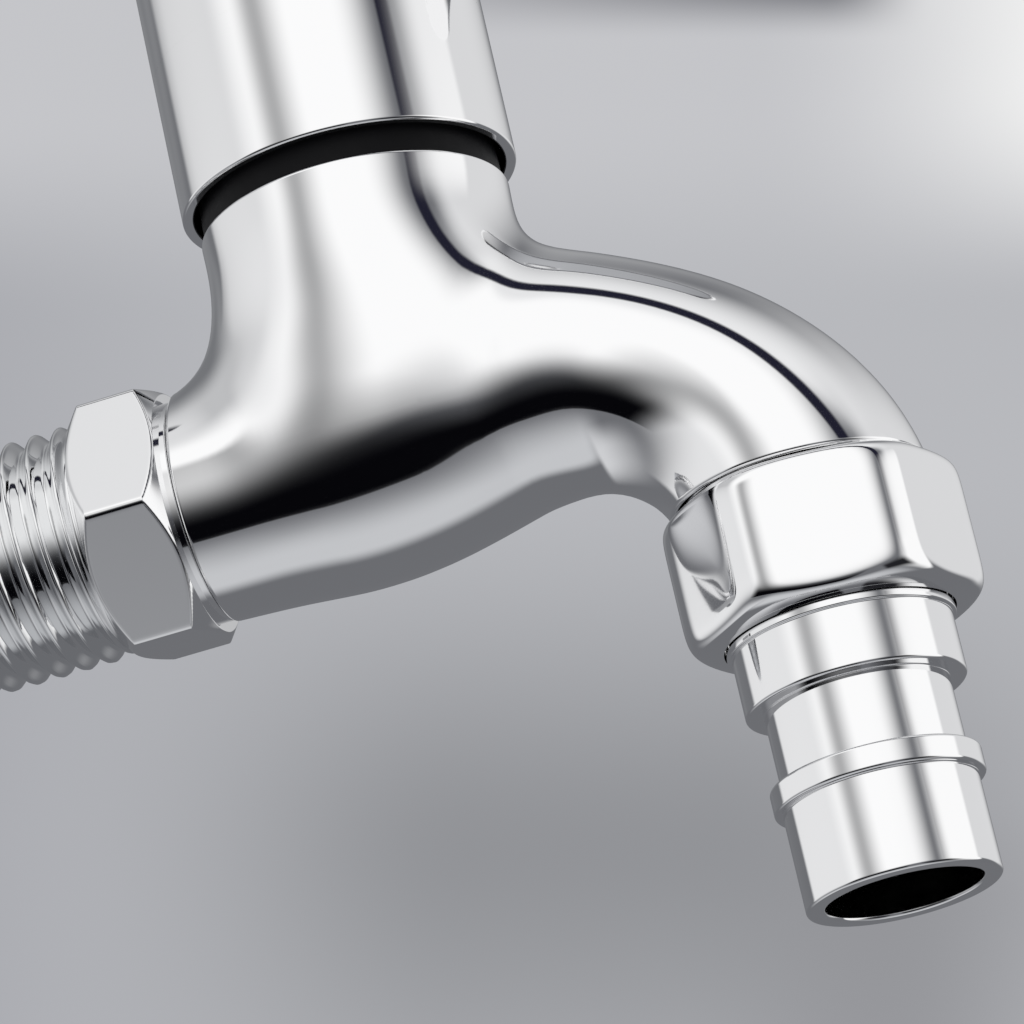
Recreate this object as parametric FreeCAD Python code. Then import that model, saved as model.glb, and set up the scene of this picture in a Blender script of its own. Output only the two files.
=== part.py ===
import FreeCAD, Part
import math
import os
from FreeCAD import Vector

# Washing machine tap: a quarter-turn wall tap with a cast body, a threaded inlet
# nipple, a ceramic disc cartridge under a lever handle, and a stepped hose nozzle
# held by a union nut. Lengths are millimetres and angles are degrees.
#
# Frame: the origin lies on the inlet axis, in the face of the inlet hexagon that
# looks at the wall. X runs from the wall through the inlet to the outlet, Z is up.

# Main places
neck_x = 27.3
outlet_x = 59.96
neck_top_z = 22.25
body_start_x = 8.8

# Clearances
thread_gap = 0.05
running_gap = 0.05
seal_gap = 0.02
face_gap = 0.1
open_gap = 0.4
# How far a cutting shape runs past the face that it opens
overrun = 1.0
# Sizes nearer to each other than this count as the same when edges are picked
same = 0.01

# Inlet nipple
inlet_thread_r = 10.4775
inlet_thread_length = 14.6
inlet_bore_r = 7.0
inlet_bore_end_x = -1.0
inlet_hex_flats = 21.6
inlet_hex_length = 8.0
inlet_hex_turn = 9.12
inlet_hex_edge_r = 0.35
inlet_hex_wall_chamfer = 1.45
inlet_hex_body_chamfer = 1.4
inlet_hex_face_inset = 0.1
inlet_collar_r = 10.2
spigot_r = 7.8
spigot_length = 6.8
spigot_bore_r = 5.0
nipple_groove_x = 12.2
nipple_groove_width = 1.9
nipple_groove_r = 6.4
thread_chamfer = 0.7

# Cast body
barrel_r = 9.95
barrel_taper = 0.45
belly_r = 10.8
swell_r = 10.35
rise_r = 10.98
rise_lift = 0.2
spout_r = 9.9
spout_end_r = 10.85
bend_r = 20.4
crest_rise = 2.33
rise_angle = 14.0
# Rings along the bend: angle, radius, how far the ring lies outside the bend's arc
bend_rings = [
    (-rise_angle, 10.8, 0.36),
    (0.0, 10.8, 0.65),
    (18.0, 10.08, 0.31),
    (38.0, spout_r, 0.0),
    (56.0, (spout_r + spout_end_r) / 2, 0.0),
    (76.0, spout_end_r, 0.0),
    (90.0, spout_end_r, 0.0),
]
neck_r = 13.69
neck_foot_half_width = 9.66
# Rings of the neck: share of the neck's height above the inlet axis, extra reach
# towards the wall, extra reach towards the spout, share of the swell sideways
neck_rings = [
    (-0.18, 7.6, 5.8, 0.0),
    (0.0, 6.9, 5.75, 0.53),
    (0.157, 5.55, 5.6, 0.7),
    (0.31, 4.35, 4.75, 0.77),
    (0.49, 2.2, 2.95, 0.83),
    (0.65, 0.75, 1.05, 0.92),
    (0.83, 0.0, 0.0, 1.0),
    (1.0, 0.0, 0.0, 1.0),
]
neck_fillet_r = 4.0
neck_edge_r = 0.4
outlet_end_z = -19.5
outlet_thread_r = 10.4775
outlet_bore_r = 6.64
waterway_r = 5.2
waterway_start = (4.0, 7.6)
inlet_way_r = 4.0
inlet_way_z = -3.8
seat_z = 2.2
seat_hole_r = 4.5
socket_depth = 7.4

# Cartridge
bonnet_thread_r = 10.4775
bonnet_thread_bottom_z = 12.6
cage_r = 8.1
cage_gap = 0.5
cage_bottom_z = 3.0
disc_chamber_r = 6.95
disc_chamber_top_z = 13.5
cage_window_width = 9.0
cage_window_z = (7.2, 11.6)
bonnet_washer_thickness = 0.8
bonnet_flange_r = 11.4
bonnet_flange_thickness = 1.6
bonnet_hex_flats = 19.6
bonnet_hex_height = 5.6
turret_r = 7.6
turret_top_z = 33.0
stem_r = 5.0
disc_thickness = 2.8
disc_port_inner_r = 1.8
disc_port_outer_r = 5.4
disc_port_angle = 72.0
seal_height = 1.95
seal_lip_height = 0.75
support_wall = 0.6
stem_collar_r = 6.6
drive_lug_width = 2.2
drive_lug_height = 0.9
drive_lug_inner_x = 2.4
drive_lug_outer_x = 6.2
thrust_washer_thickness = 0.4
stem_groove_r = 3.7
stem_groove_width = 1.9
stem_groove_z = (16.0, 20.0)
stop_plate_r = 6.2
stop_plate_thickness = 1.6
stop_lug_r = 7.3
stop_lug_angle = 60.0
stop_slack_angle = 3.0
quarter_turn = 90.0
stem_flat_half_width = 4.2
circlip_thickness = 1.0
circlip_wall = 1.9
circlip_mouth = 60.0
circlip_groove_r = 4.3
spline_r = 4.0
spline_root_r = 3.6
spline_teeth = 20
spline_tooth_root_share = 0.52
spline_tooth_top_share = 0.24
spline_chamfer = 0.5
stem_top_z = 46.0

# Handle
skirt_r = 14.87
skirt_wall = 1.05
skirt_rim_z = 24.45
skirt_inside_top_z = 37.6
hub_top_z = 52.0
hub_top_edge_r = 3.2
skirt_rim_edge_r = 0.3
skirt_ring_gap = 0.57
skirt_ring_height = 5.0
insert_r = 6.5
insert_length = 8.4
screw_r = 2.4
screw_head_r = 4.4
screw_head_height = 2.4
screw_length = 11.0
screw_key_flats = 4.0
handle_web = 1.5
button_r = 6.0
button_wall = 0.8
button_height = 3.2
button_roof = 1.0
button_stand = 0.5
lever_reach = 47.0
lever_root_half_width = 8.4
lever_tip_half_width = 6.2
lever_thickness = 6.2
lever_edge_r = 2.4
lever_root_z = 43.4
lever_climb = 5.0
lever_start_x = 4.5
lever_root_fillet_r = 1.2

# Union nut
nut_top_z = -13.9
nut_height = 12.1
nut_flats = 23.0
nut_turn = 7.3
nut_corner_r = 3.0
nut_envelope_r = 12.95
nut_top_round = 2.3
nut_bottom_round = 1.7
nut_lip_r = 9.85

# Hose nozzle
washer_thickness = 1.8
flange_r = 10.35
flange_thickness = 1.9
nozzle_neck_r = 9.1
nozzle_neck_length = 2.9
step_r = 9.42
step_length = 6.1
groove_r = 7.9
groove_length = 6.4
rib_r = 8.95
rib_length = 2.2
tip_r = 8.28
tip_length = 8.59
nozzle_edge_r = 0.3

# Sizes that follow from the ones above
socket_r = spigot_r + thread_gap
neck_bore_r = cage_r + cage_gap
bonnet_bore_r = bonnet_thread_r + thread_gap
stem_bore_r = stem_r + running_gap
bonnet_flange_z = neck_top_z + bonnet_washer_thickness
bonnet_hex_z = bonnet_flange_z + bonnet_flange_thickness
seal_top_z = seat_z + seal_height
moving_disc_z = seal_top_z + disc_thickness + seal_gap
drive_z = moving_disc_z + disc_thickness
stop_floor_z = turret_top_z - stop_plate_thickness - face_gap - face_gap
stop_plate_z = stop_floor_z + face_gap
circlip_z = turret_top_z + face_gap
spline_bottom_z = circlip_z + circlip_thickness + face_gap + face_gap
bend_centre_z = crest_rise - bend_r
shoulder_z = nut_top_z + open_gap
flange_top_z = outlet_end_z - washer_thickness
nozzle_neck_z = flange_top_z - flange_thickness
step_z = nozzle_neck_z - nozzle_neck_length
groove_z = step_z - step_length
rib_z = groove_z - groove_length
tip_z = rib_z - rib_length
nozzle_end_z = tip_z - tip_length
nut_bore_r = outlet_thread_r + thread_gap
nut_bottom_z = nut_top_z - nut_height
nut_lip_z = nozzle_neck_z - face_gap
web_bottom_z = stem_top_z + open_gap
web_top_z = web_bottom_z + handle_web
skirt_inside_r = skirt_r - skirt_wall
skirt_ring_r = skirt_inside_r - skirt_ring_gap

X_AXIS = Vector(1, 0, 0)
Z_AXIS = Vector(0, 0, 1)


def line(a, b):
    return Part.LineSegment(a, b).toShape()


def turned(points, centre_x=None):
    """Solid of revolution. Points are (radius, z) about an upright axis at centre_x,
    or (x, radius) about the inlet axis when no centre is given."""
    if centre_x is None:
        corners = [Vector(x, 0, r) for x, r in points]
        centre, axis = Vector(0, 0, 0), X_AXIS
    else:
        corners = [Vector(centre_x + r, 0, z) for r, z in points]
        centre, axis = Vector(centre_x, 0, 0), Z_AXIS
    wire = Part.makePolygon(corners + corners[:1])
    return Part.Face(wire).revolve(centre, axis, 360)


def tube(outer_r, inner_r, z_low, z_high, centre_x):
    return turned([(inner_r, z_low), (outer_r, z_low), (outer_r, z_high), (inner_r, z_high)], centre_x)


def rod(r, z_low, z_high, centre_x):
    return Part.makeCylinder(r, z_high - z_low, Vector(centre_x, 0, z_low), Z_AXIS)


def torus(ring_r, section_r, centre, axis):
    return Part.makeTorus(ring_r, section_r, centre, axis)


def round_rims(shape, radius, rims):
    """Round the circular edges at the given (radius, z) places."""
    chosen = []
    for edge in shape.Edges:
        if edge.Curve.TypeId != "Part::GeomCircle":
            continue
        for rim_r, rim_z in rims:
            near_r = abs(edge.Curve.Radius - rim_r) < same
            near_z = abs(edge.Curve.Center.z - rim_z) < same
            if near_r and near_z:
                chosen.append(edge)
    return shape.makeFillet(radius, chosen)


def hexagon(flats, corner_r, length):
    """Upright hexagonal bar with rounded corners, one flat facing -Y."""
    corner = flats / math.sqrt(3)
    corners = []
    for k in range(7):
        angle = math.radians(60 * k)
        corners.append(Vector(corner * math.cos(angle), corner * math.sin(angle), 0))
    bar = Part.Face(Part.makePolygon(corners)).extrude(Vector(0, 0, length))
    upright = []
    for edge in bar.Edges:
        if abs(edge.BoundBox.ZLength - length) < same:
            upright.append(edge)
    return bar.makeFillet(corner_r, upright)


def sector(inner_r, outer_r, start, angle, z_low, z_high, centre_x):
    """Part of a ring, from the angle start on."""
    ring = tube(outer_r, inner_r, z_low, z_high, 0)
    reach = 3 * outer_r
    wedge = Part.makeCylinder(reach, z_high - z_low, Vector(0, 0, z_low), Z_AXIS, angle)
    wedge.rotate(Vector(0, 0, 0), Z_AXIS, start)
    part = ring.common(wedge)
    part.translate(Vector(centre_x, 0, 0))
    return part


# Casting

def bend_point(angle, outside=0.0):
    a = math.radians(angle)
    r = bend_r + outside
    return Vector(outlet_x - bend_r + r * math.sin(a), 0, bend_centre_z + r * math.cos(a))


def bend_direction(angle):
    a = math.radians(angle)
    return Vector(math.cos(a), 0, -math.sin(a))


def ring_wire(centre, direction, r):
    return Part.Wire([Part.Circle(centre, direction, r).toShape()])


def water_tube():
    """The outside of the casting from the barrel through the belly to the spout."""
    join = bend_point(-rise_angle)
    rise_curve = join.z / (1 - math.cos(math.radians(rise_angle)))
    rise_start_x = join.x - rise_curve * math.sin(math.radians(rise_angle))
    sections = []
    middle_x = (body_start_x + rise_start_x) / 2
    barrel = [(body_start_x - barrel_r, barrel_r - barrel_taper), (body_start_x, barrel_r)]
    barrel.append((middle_x, swell_r))
    barrel.append((rise_start_x, belly_r))
    for x, r in barrel:
        sections.append(ring_wire(Vector(x, 0, 0), X_AXIS, r))
    half = math.radians(rise_angle / 2)
    rising = Vector(rise_start_x + rise_curve * math.sin(half), 0, rise_curve * (1 - math.cos(half)))
    rising = rising + Vector(-math.sin(half), 0, math.cos(half)) * rise_lift
    sections.append(ring_wire(rising, bend_direction(-rise_angle / 2), rise_r))
    for angle, r, outside in bend_rings:
        sections.append(ring_wire(bend_point(angle, outside), bend_direction(angle), r))
    return Part.makeLoft(sections, True, False)


def oval(z, wall_reach, spout_reach, half_width):
    """Oval around the neck: its reach towards the wall, towards the spout and sideways."""
    half = (wall_reach + spout_reach) / 2
    centre = Vector(neck_x + (spout_reach - wall_reach) / 2, 0, z)
    if abs(half - half_width) < same:
        return ring_wire(centre, Z_AXIS, half)
    curve = Part.Ellipse(centre + Vector(half, 0, 0), centre + Vector(0, half_width, 0), centre)
    return Part.Wire([curve.toShape()])


def neck_horn():
    """The neck: round at the top, with a foot that leans towards the wall."""
    sections = []
    for height, to_wall, to_spout, swell in neck_rings:
        half_width = neck_foot_half_width + swell * (neck_r - neck_foot_half_width)
        sections.append(oval(height * neck_top_z, neck_r + to_wall, neck_r + to_spout, half_width))
    return Part.makeLoft(sections, True, False)


def junction_edges(shape):
    """The two long edges where the neck meets the tube."""
    chosen = []
    for edge in shape.Edges:
        box = edge.BoundBox
        crosses_neck = box.XMin < neck_x - neck_r * 0.6 and box.XMax > neck_x + neck_r * 0.6
        if crosses_neck and box.ZMin > -belly_r / 2 and box.ZMax < neck_top_z - neck_fillet_r / 2:
            if box.YLength > neck_foot_half_width * 0.8:
                chosen.append(edge)
    return chosen


def casting():
    outside = water_tube().fuse(neck_horn())
    outside = outside.makeFillet(neck_fillet_r, junction_edges(outside))
    reach = outlet_x + 4 * spout_r
    keep = Part.makeBox(reach, reach, reach, Vector(body_start_x, -reach / 2, shoulder_z))
    outside = outside.common(keep)
    top_rim = [edge for edge in outside.Edges if edge.BoundBox.ZMin > neck_top_z - neck_edge_r]
    outside = outside.makeFillet(neck_edge_r, top_rim)
    boss = rod(outlet_thread_r, outlet_end_z, shoulder_z, outlet_x)
    boss = boss.makeChamfer(thread_chamfer, [min(boss.Edges, key=lambda e: e.CenterOfMass.z)])
    return outside.fuse(boss)


def water_passages():
    """Everything that is bored or cored out of the casting."""
    socket_end_x = body_start_x + socket_depth
    socket = Part.makeCylinder(socket_r, socket_depth + overrun, Vector(body_start_x - overrun, 0, 0), X_AXIS)
    way_start = Vector(socket_end_x - overrun, 0, inlet_way_z)
    inlet_way = Part.makeCylinder(inlet_way_r, neck_x - way_start.x, way_start, X_AXIS)
    inlet_end = Part.makeSphere(inlet_way_r, Vector(neck_x, 0, inlet_way_z))
    seat_hole = rod(seat_hole_r, inlet_way_z, seat_z + overrun, neck_x)
    chamber = rod(neck_bore_r, seat_z, neck_top_z + overrun, neck_x)
    thread_hole = rod(bonnet_bore_r, bonnet_thread_bottom_z - face_gap, neck_top_z + overrun, neck_x)
    start = Vector(neck_x + waterway_start[0], 0, waterway_start[1])
    centre = Vector(outlet_x - bend_r, 0, bend_centre_z)
    offset = start - centre
    angle = math.degrees(math.acos(bend_r / offset.Length) + math.atan2(offset.x, offset.z))
    tangent = bend_point(angle)
    middle = bend_point((angle + 90) / 2)
    end = bend_point(90)
    path = Part.Wire([line(start, tangent), Part.Arc(tangent, middle, end).toShape()])
    spout_way = path.makePipeShell([ring_wire(start, tangent - start, waterway_r)], True, False)
    outlet_bore = rod(outlet_bore_r, outlet_end_z - overrun, bend_centre_z + overrun, outlet_x)
    return [socket, inlet_way, inlet_end, seat_hole, chamber, thread_hole, spout_way, outlet_bore]


def body():
    return casting().cut(water_passages())


# Inlet

def inlet_nipple():
    hex_end = inlet_hex_length
    envelope_r = inlet_hex_flats / math.sqrt(3)
    flat_r = inlet_hex_flats / 2 - inlet_hex_face_inset
    bar = hexagon(inlet_hex_flats, inlet_hex_edge_r, hex_end)
    bar.rotate(Vector(0, 0, 0), Vector(0, 1, 0), 90)
    bar.rotate(Vector(0, 0, 0), X_AXIS, 90 + inlet_hex_turn)
    envelope = turned([
        (0, 0),
        (0, flat_r),
        (inlet_hex_wall_chamfer, envelope_r),
        (hex_end - inlet_hex_body_chamfer, envelope_r),
        (hex_end, flat_r),
        (hex_end, 0),
    ])
    bar = bar.common(envelope)
    thread_end = -inlet_thread_length
    core = turned([
        (thread_end, 0),
        (thread_end, inlet_thread_r - thread_chamfer),
        (thread_end + thread_chamfer, inlet_thread_r),
        (0, inlet_thread_r),
        (0, spigot_r),
        (hex_end, spigot_r),
        (hex_end, inlet_collar_r),
        (body_start_x, inlet_collar_r),
        (body_start_x, spigot_r),
        (nipple_groove_x, spigot_r),
        (nipple_groove_x, nipple_groove_r),
        (nipple_groove_x + nipple_groove_width, nipple_groove_r),
        (nipple_groove_x + nipple_groove_width, spigot_r),
        (body_start_x + spigot_length, spigot_r),
        (body_start_x + spigot_length, 0),
    ])
    bore = turned([
        (thread_end - overrun, 0),
        (thread_end - overrun, inlet_bore_r),
        (inlet_bore_end_x, inlet_bore_r),
        (inlet_bore_end_x + inlet_bore_r - spigot_bore_r, spigot_bore_r),
        (body_start_x + spigot_length + overrun, spigot_bore_r),
        (body_start_x + spigot_length + overrun, 0),
    ])
    return core.fuse(bar).cut(bore).removeSplitter()


def nipple_o_ring():
    section = (socket_r - nipple_groove_r) / 2 - seal_gap
    ring = (socket_r + nipple_groove_r) / 2
    return torus(ring, section, Vector(nipple_groove_x + nipple_groove_width / 2, 0, 0), X_AXIS)


# Cartridge

def cartridge_housing():
    outside = turned([
        (0, cage_bottom_z),
        (cage_r, cage_bottom_z),
        (cage_r, bonnet_thread_bottom_z),
        (bonnet_thread_r, bonnet_thread_bottom_z),
        (bonnet_thread_r, bonnet_flange_z),
        (bonnet_flange_r, bonnet_flange_z),
        (bonnet_flange_r, bonnet_hex_z),
        (turret_r, bonnet_hex_z),
        (turret_r, turret_top_z),
        (0, turret_top_z),
    ], neck_x)
    spanner_hex = hexagon(bonnet_hex_flats, inlet_hex_edge_r, bonnet_hex_height)
    spanner_hex.translate(Vector(neck_x, 0, bonnet_hex_z))
    hole = turned([
        (0, cage_bottom_z - overrun),
        (disc_chamber_r, cage_bottom_z - overrun),
        (disc_chamber_r, disc_chamber_top_z),
        (stem_bore_r, disc_chamber_top_z),
        (stem_bore_r, stop_floor_z),
        (stop_plate_r + open_gap, stop_floor_z),
        (stop_plate_r + open_gap, turret_top_z + overrun),
        (0, turret_top_z + overrun),
    ], neck_x)
    low, high = cage_window_z
    width = cage_window_width
    window = Part.makeBox(4 * cage_r, width, high - low, Vector(neck_x - 2 * cage_r, -width / 2, low))
    key_width = drive_lug_width + 2 * face_gap
    key_slot = Part.makeBox(
        key_width, 2 * cage_r, moving_disc_z - cage_bottom_z + face_gap,
        Vector(neck_x - key_width / 2, 0, cage_bottom_z - face_gap))
    travel = stop_lug_angle + quarter_turn + 2 * stop_slack_angle
    start = -stop_lug_angle / 2 - stop_slack_angle
    stop_window = sector(
        stop_plate_r, turret_r + overrun, start, travel,
        stop_floor_z, turret_top_z + overrun, neck_x)
    return outside.fuse(spanner_hex).cut([hole, window, key_slot, stop_window])


def bonnet_washer():
    return tube(bonnet_flange_r - seal_gap, bonnet_bore_r + face_gap, neck_top_z, bonnet_flange_z, neck_x)


def skirt_ring():
    inner_r = bonnet_flange_r + face_gap
    top_z = neck_top_z + skirt_ring_height
    ring = tube(skirt_ring_r, inner_r, neck_top_z, top_z, neck_x)
    return round_rims(ring, neck_edge_r, [(skirt_ring_r, top_z)])


def seat_seal():
    lip_z = seat_z + seal_lip_height
    inner_r = seat_hole_r + support_wall
    return turned([
        (inner_r, seat_z),
        (cage_r - face_gap, seat_z),
        (cage_r - face_gap, lip_z),
        (disc_chamber_r - face_gap, lip_z),
        (disc_chamber_r - face_gap, seal_top_z),
        (inner_r, seal_top_z),
    ], neck_x)


def seal_support_ring():
    inner_r = seat_hole_r + seal_gap
    return tube(seat_hole_r + support_wall - seal_gap, inner_r, seat_z + face_gap, seal_top_z, neck_x)


def ceramic_disc(z_low, first_port, port_outer_r):
    """A lapped disc with two ports opposite each other."""
    shape = rod(disc_chamber_r - face_gap, z_low, z_low + disc_thickness, neck_x)
    for k in range(2):
        start = first_port + 180 * k - disc_port_angle / 2
        port = sector(
            disc_port_inner_r, port_outer_r, start, disc_port_angle,
            z_low - overrun, z_low + disc_thickness + overrun, neck_x)
        shape = shape.cut(port)
    return shape


def fixed_disc():
    disc = ceramic_disc(seal_top_z, 0, disc_port_outer_r)
    tab_length = cage_r - face_gap - disc_port_outer_r
    tab = Part.makeBox(
        drive_lug_width, tab_length, disc_thickness,
        Vector(neck_x - drive_lug_width / 2, disc_port_outer_r, seal_top_z))
    return disc.fuse(tab)


def drive_lugs(extra, z_low, z_high):
    """Two bars under the stem that turn the moving disc."""
    inner, outer = drive_lug_inner_x, drive_lug_outer_x
    bars = []
    for low_x in (inner, -outer):
        bars.append(Part.makeBox(
            outer - inner + 2 * extra, drive_lug_width + 2 * extra, z_high - z_low,
            Vector(neck_x + low_x - extra, -drive_lug_width / 2 - extra, z_low)))
    return bars


def moving_disc():
    """Shut at rest: its two notches lie a quarter turn from the ports below it."""
    disc = ceramic_disc(moving_disc_z, quarter_turn, disc_chamber_r + overrun)
    pocket_z = drive_z - drive_lug_height - face_gap
    return disc.cut(drive_lugs(face_gap, pocket_z, drive_z + overrun))


def stem():
    collar_top_z = disc_chamber_top_z - thrust_washer_thickness - face_gap
    profile = [
        (0, drive_z + seal_gap),
        (stem_collar_r, drive_z + seal_gap),
        (stem_collar_r, collar_top_z),
        (stem_r, collar_top_z),
    ]
    for z in stem_groove_z:
        profile += [(stem_r, z), (stem_groove_r, z)]
        profile += [(stem_groove_r, z + stem_groove_width), (stem_r, z + stem_groove_width)]
    clip_low = circlip_z - seal_gap
    clip_high = circlip_z + circlip_thickness + seal_gap
    profile += [
        (stem_r, clip_low),
        (circlip_groove_r, clip_low),
        (circlip_groove_r, clip_high),
        (stem_r, clip_high),
        (stem_r, spline_bottom_z),
        (spline_root_r, spline_bottom_z + spline_chamfer),
        (spline_root_r, stem_top_z),
        (0, stem_top_z),
    ]
    shape = turned(profile, neck_x)
    lugs = drive_lugs(0, drive_z - drive_lug_height, drive_z + seal_gap)
    teeth = spline(spline_bottom_z + spline_chamfer, stem_top_z)
    tapped = rod(screw_r + thread_gap, stem_top_z - screw_length, stem_top_z + overrun, neck_x)
    side = 2 * stem_r
    flats = []
    for centre_y in (1, -1):
        y = stem_flat_half_width if centre_y > 0 else -stem_flat_half_width - side
        flats.append(Part.makeBox(
            2 * side, side, circlip_z - seal_gap - stop_floor_z,
            Vector(neck_x - side, y, stop_floor_z)))
    return shape.fuse(lugs + [teeth]).cut([tapped] + flats)


def spline(z_low, z_high):
    """Fine straight teeth round the top of the stem."""
    root, top = spline_tooth_root_share / 2, spline_tooth_top_share / 2
    points = []
    for k in range(spline_teeth):
        for share, r in ((-root, spline_root_r), (-top, spline_r), (top, spline_r), (root, spline_root_r)):
            angle = 2 * math.pi * (k + share) / spline_teeth
            points.append(Vector(neck_x + r * math.cos(angle), r * math.sin(angle), z_low))
    face = Part.Face(Part.makePolygon(points + points[:1]))
    return face.extrude(Vector(0, 0, z_high - z_low))


def stem_o_rings():
    section = (stem_bore_r - stem_groove_r) / 2 - seal_gap
    ring = (stem_bore_r + stem_groove_r) / 2
    rings = []
    for z in stem_groove_z:
        rings.append(torus(ring, section, Vector(neck_x, 0, z + stem_groove_width / 2), Z_AXIS))
    return Part.makeCompound(rings)


def thrust_washer():
    high = disc_chamber_top_z - face_gap / 2
    return tube(stem_collar_r, stem_r + face_gap, high - thrust_washer_thickness, high, neck_x)


def stop_plate():
    top_z = stop_plate_z + stop_plate_thickness
    plate = rod(stop_plate_r, stop_plate_z, top_z, neck_x)
    lug = sector(stem_r, stop_lug_r, -stop_lug_angle / 2, stop_lug_angle, stop_plate_z, top_z, neck_x)
    hole = rod(stem_r + running_gap, stop_plate_z - overrun, top_z + overrun, neck_x)
    reach = stem_flat_half_width + running_gap
    slot = Part.makeBox(4 * stem_r, 2 * reach, 4 * stop_plate_thickness,
                        Vector(neck_x - 2 * stem_r, -reach, stop_plate_z - stop_plate_thickness))
    return plate.fuse(lug).cut(hole.common(slot))


def circlip():
    inner_r = circlip_groove_r + seal_gap
    ring = tube(inner_r + circlip_wall, inner_r, circlip_z, circlip_z + circlip_thickness, neck_x)
    mouth = sector(
        circlip_wall, inner_r + circlip_wall + overrun, 180 - circlip_mouth / 2, circlip_mouth,
        circlip_z - overrun, circlip_z + circlip_thickness + overrun, neck_x)
    return ring.cut(mouth)


# Handle

def lever():
    """A tapered bar with a round tip, which climbs a little as it leaves the hub."""
    tip_x = lever_reach - lever_tip_half_width
    root = lever_root_half_width
    tip = lever_tip_half_width
    outline = Part.Wire([
        line(Vector(lever_start_x, -root, 0), Vector(tip_x, -tip, 0)),
        Part.Arc(Vector(tip_x, -tip, 0), Vector(tip_x + tip, 0, 0), Vector(tip_x, tip, 0)).toShape(),
        line(Vector(tip_x, tip, 0), Vector(lever_start_x, root, 0)),
        line(Vector(lever_start_x, root, 0), Vector(lever_start_x, -root, 0)),
    ])
    bar = Part.Face(outline).extrude(Vector(0, 0, lever_thickness))
    rims = []
    for edge in bar.Edges:
        if edge.BoundBox.ZLength < same and edge.BoundBox.XMax > lever_start_x + same:
            rims.append(edge)
    bar = bar.makeFillet(lever_edge_r, rims)
    bar.rotate(Vector(0, 0, 0), Vector(0, 1, 0), -lever_climb)
    bar.translate(Vector(neck_x, 0, lever_root_z))
    return bar


def lever_root_edges(shape):
    """The edges where the lever runs into the hub."""
    chosen = []
    for edge in shape.Edges:
        box = edge.BoundBox
        at_hub = box.XMin > neck_x + lever_root_half_width and box.XMax < neck_x + skirt_r + face_gap
        if at_hub and box.ZMin > lever_root_z and box.YLength > same:
            chosen.append(edge)
    return chosen


def handle():
    hub = rod(skirt_r, skirt_rim_z, hub_top_z, neck_x)
    hub = round_rims(hub, hub_top_edge_r, [(skirt_r, hub_top_z)])
    shape = hub.fuse(lever())
    shape = shape.makeFillet(lever_root_fillet_r, lever_root_edges(shape))
    inside = rod(skirt_inside_r, skirt_rim_z - overrun, skirt_inside_top_z, neck_x)
    socket = rod(insert_r + thread_gap, skirt_rim_z, web_bottom_z, neck_x)
    screw_hole = rod(screw_r + face_gap, skirt_rim_z, hub_top_z, neck_x)
    recess = rod(button_r + thread_gap, web_top_z, hub_top_z + overrun, neck_x)
    shape = shape.cut([inside, socket, screw_hole, recess])
    return round_rims(shape, skirt_rim_edge_r, [(skirt_r, skirt_rim_z), (skirt_inside_r, skirt_rim_z)])


def spline_insert():
    """Plastic bush between the stem's teeth and the handle."""
    top_z = stem_top_z
    return tube(insert_r, spline_r + running_gap, top_z - insert_length, top_z, neck_x)


def handle_screw():
    shank = rod(screw_r, web_top_z - screw_length, web_top_z, neck_x)
    head = rod(screw_head_r, web_top_z, web_top_z + screw_head_height, neck_x)
    head = round_rims(head, neck_edge_r, [(screw_head_r, web_top_z + screw_head_height)])
    hex_hole = hexagon(screw_key_flats, face_gap, screw_head_height)
    hex_hole.translate(Vector(neck_x, 0, web_top_z + screw_head_height / 2))
    return shank.fuse(head).cut(hex_hole)


def index_button():
    """Blank cap that closes the hole over the handle screw."""
    top_z = hub_top_z + button_stand
    cap = rod(button_r, top_z - button_height, top_z, neck_x)
    hollow = rod(button_r - button_wall, top_z - button_height - overrun, top_z - button_roof, neck_x)
    return round_rims(cap.cut(hollow), neck_edge_r, [(button_r, top_z)])


# Outlet

def outlet_nut():
    bar = hexagon(nut_flats, nut_corner_r, nut_height)
    bar.rotate(Vector(0, 0, 0), Z_AXIS, nut_turn)
    bar.translate(Vector(outlet_x, 0, nut_bottom_z))
    envelope = rod(nut_envelope_r, nut_bottom_z, nut_top_z, outlet_x)
    envelope = round_rims(envelope, nut_top_round, [(nut_envelope_r, nut_top_z)])
    envelope = round_rims(envelope, nut_bottom_round, [(nut_envelope_r, nut_bottom_z)])
    hole = turned([
        (0, nut_bottom_z - overrun),
        (nut_lip_r, nut_bottom_z - overrun),
        (nut_lip_r, nut_lip_z),
        (nut_bore_r, nut_lip_z),
        (nut_bore_r, nut_top_z + overrun),
        (0, nut_top_z + overrun),
    ], outlet_x)
    return bar.common(envelope).cut(hole)


def nozzle_washer():
    return tube(flange_r, outlet_bore_r, flange_top_z, outlet_end_z, outlet_x)


def hose_nozzle():
    outside = turned([
        (outlet_bore_r, flange_top_z),
        (flange_r, flange_top_z),
        (flange_r, nozzle_neck_z),
        (nozzle_neck_r, nozzle_neck_z),
        (nozzle_neck_r, step_z),
        (step_r, step_z),
        (step_r, groove_z),
        (groove_r, groove_z),
        (groove_r, rib_z),
        (rib_r, rib_z),
        (rib_r, tip_z),
        (tip_r, tip_z),
        (tip_r, nozzle_end_z),
        (outlet_bore_r, nozzle_end_z),
    ], outlet_x)
    rims = [(step_r, groove_z), (rib_r, rib_z), (rib_r, tip_z)]
    rims += [(tip_r, nozzle_end_z), (outlet_bore_r, nozzle_end_z)]
    return round_rims(outside, nozzle_edge_r, rims)


NODES = [
    body, inlet_nipple, nipple_o_ring, cartridge_housing, bonnet_washer, skirt_ring,
    seat_seal, seal_support_ring, fixed_disc, moving_disc, stem, stem_o_rings,
    thrust_washer, stop_plate, circlip, handle, spline_insert, handle_screw,
    index_button, outlet_nut, nozzle_washer, hose_nozzle,
]


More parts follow.
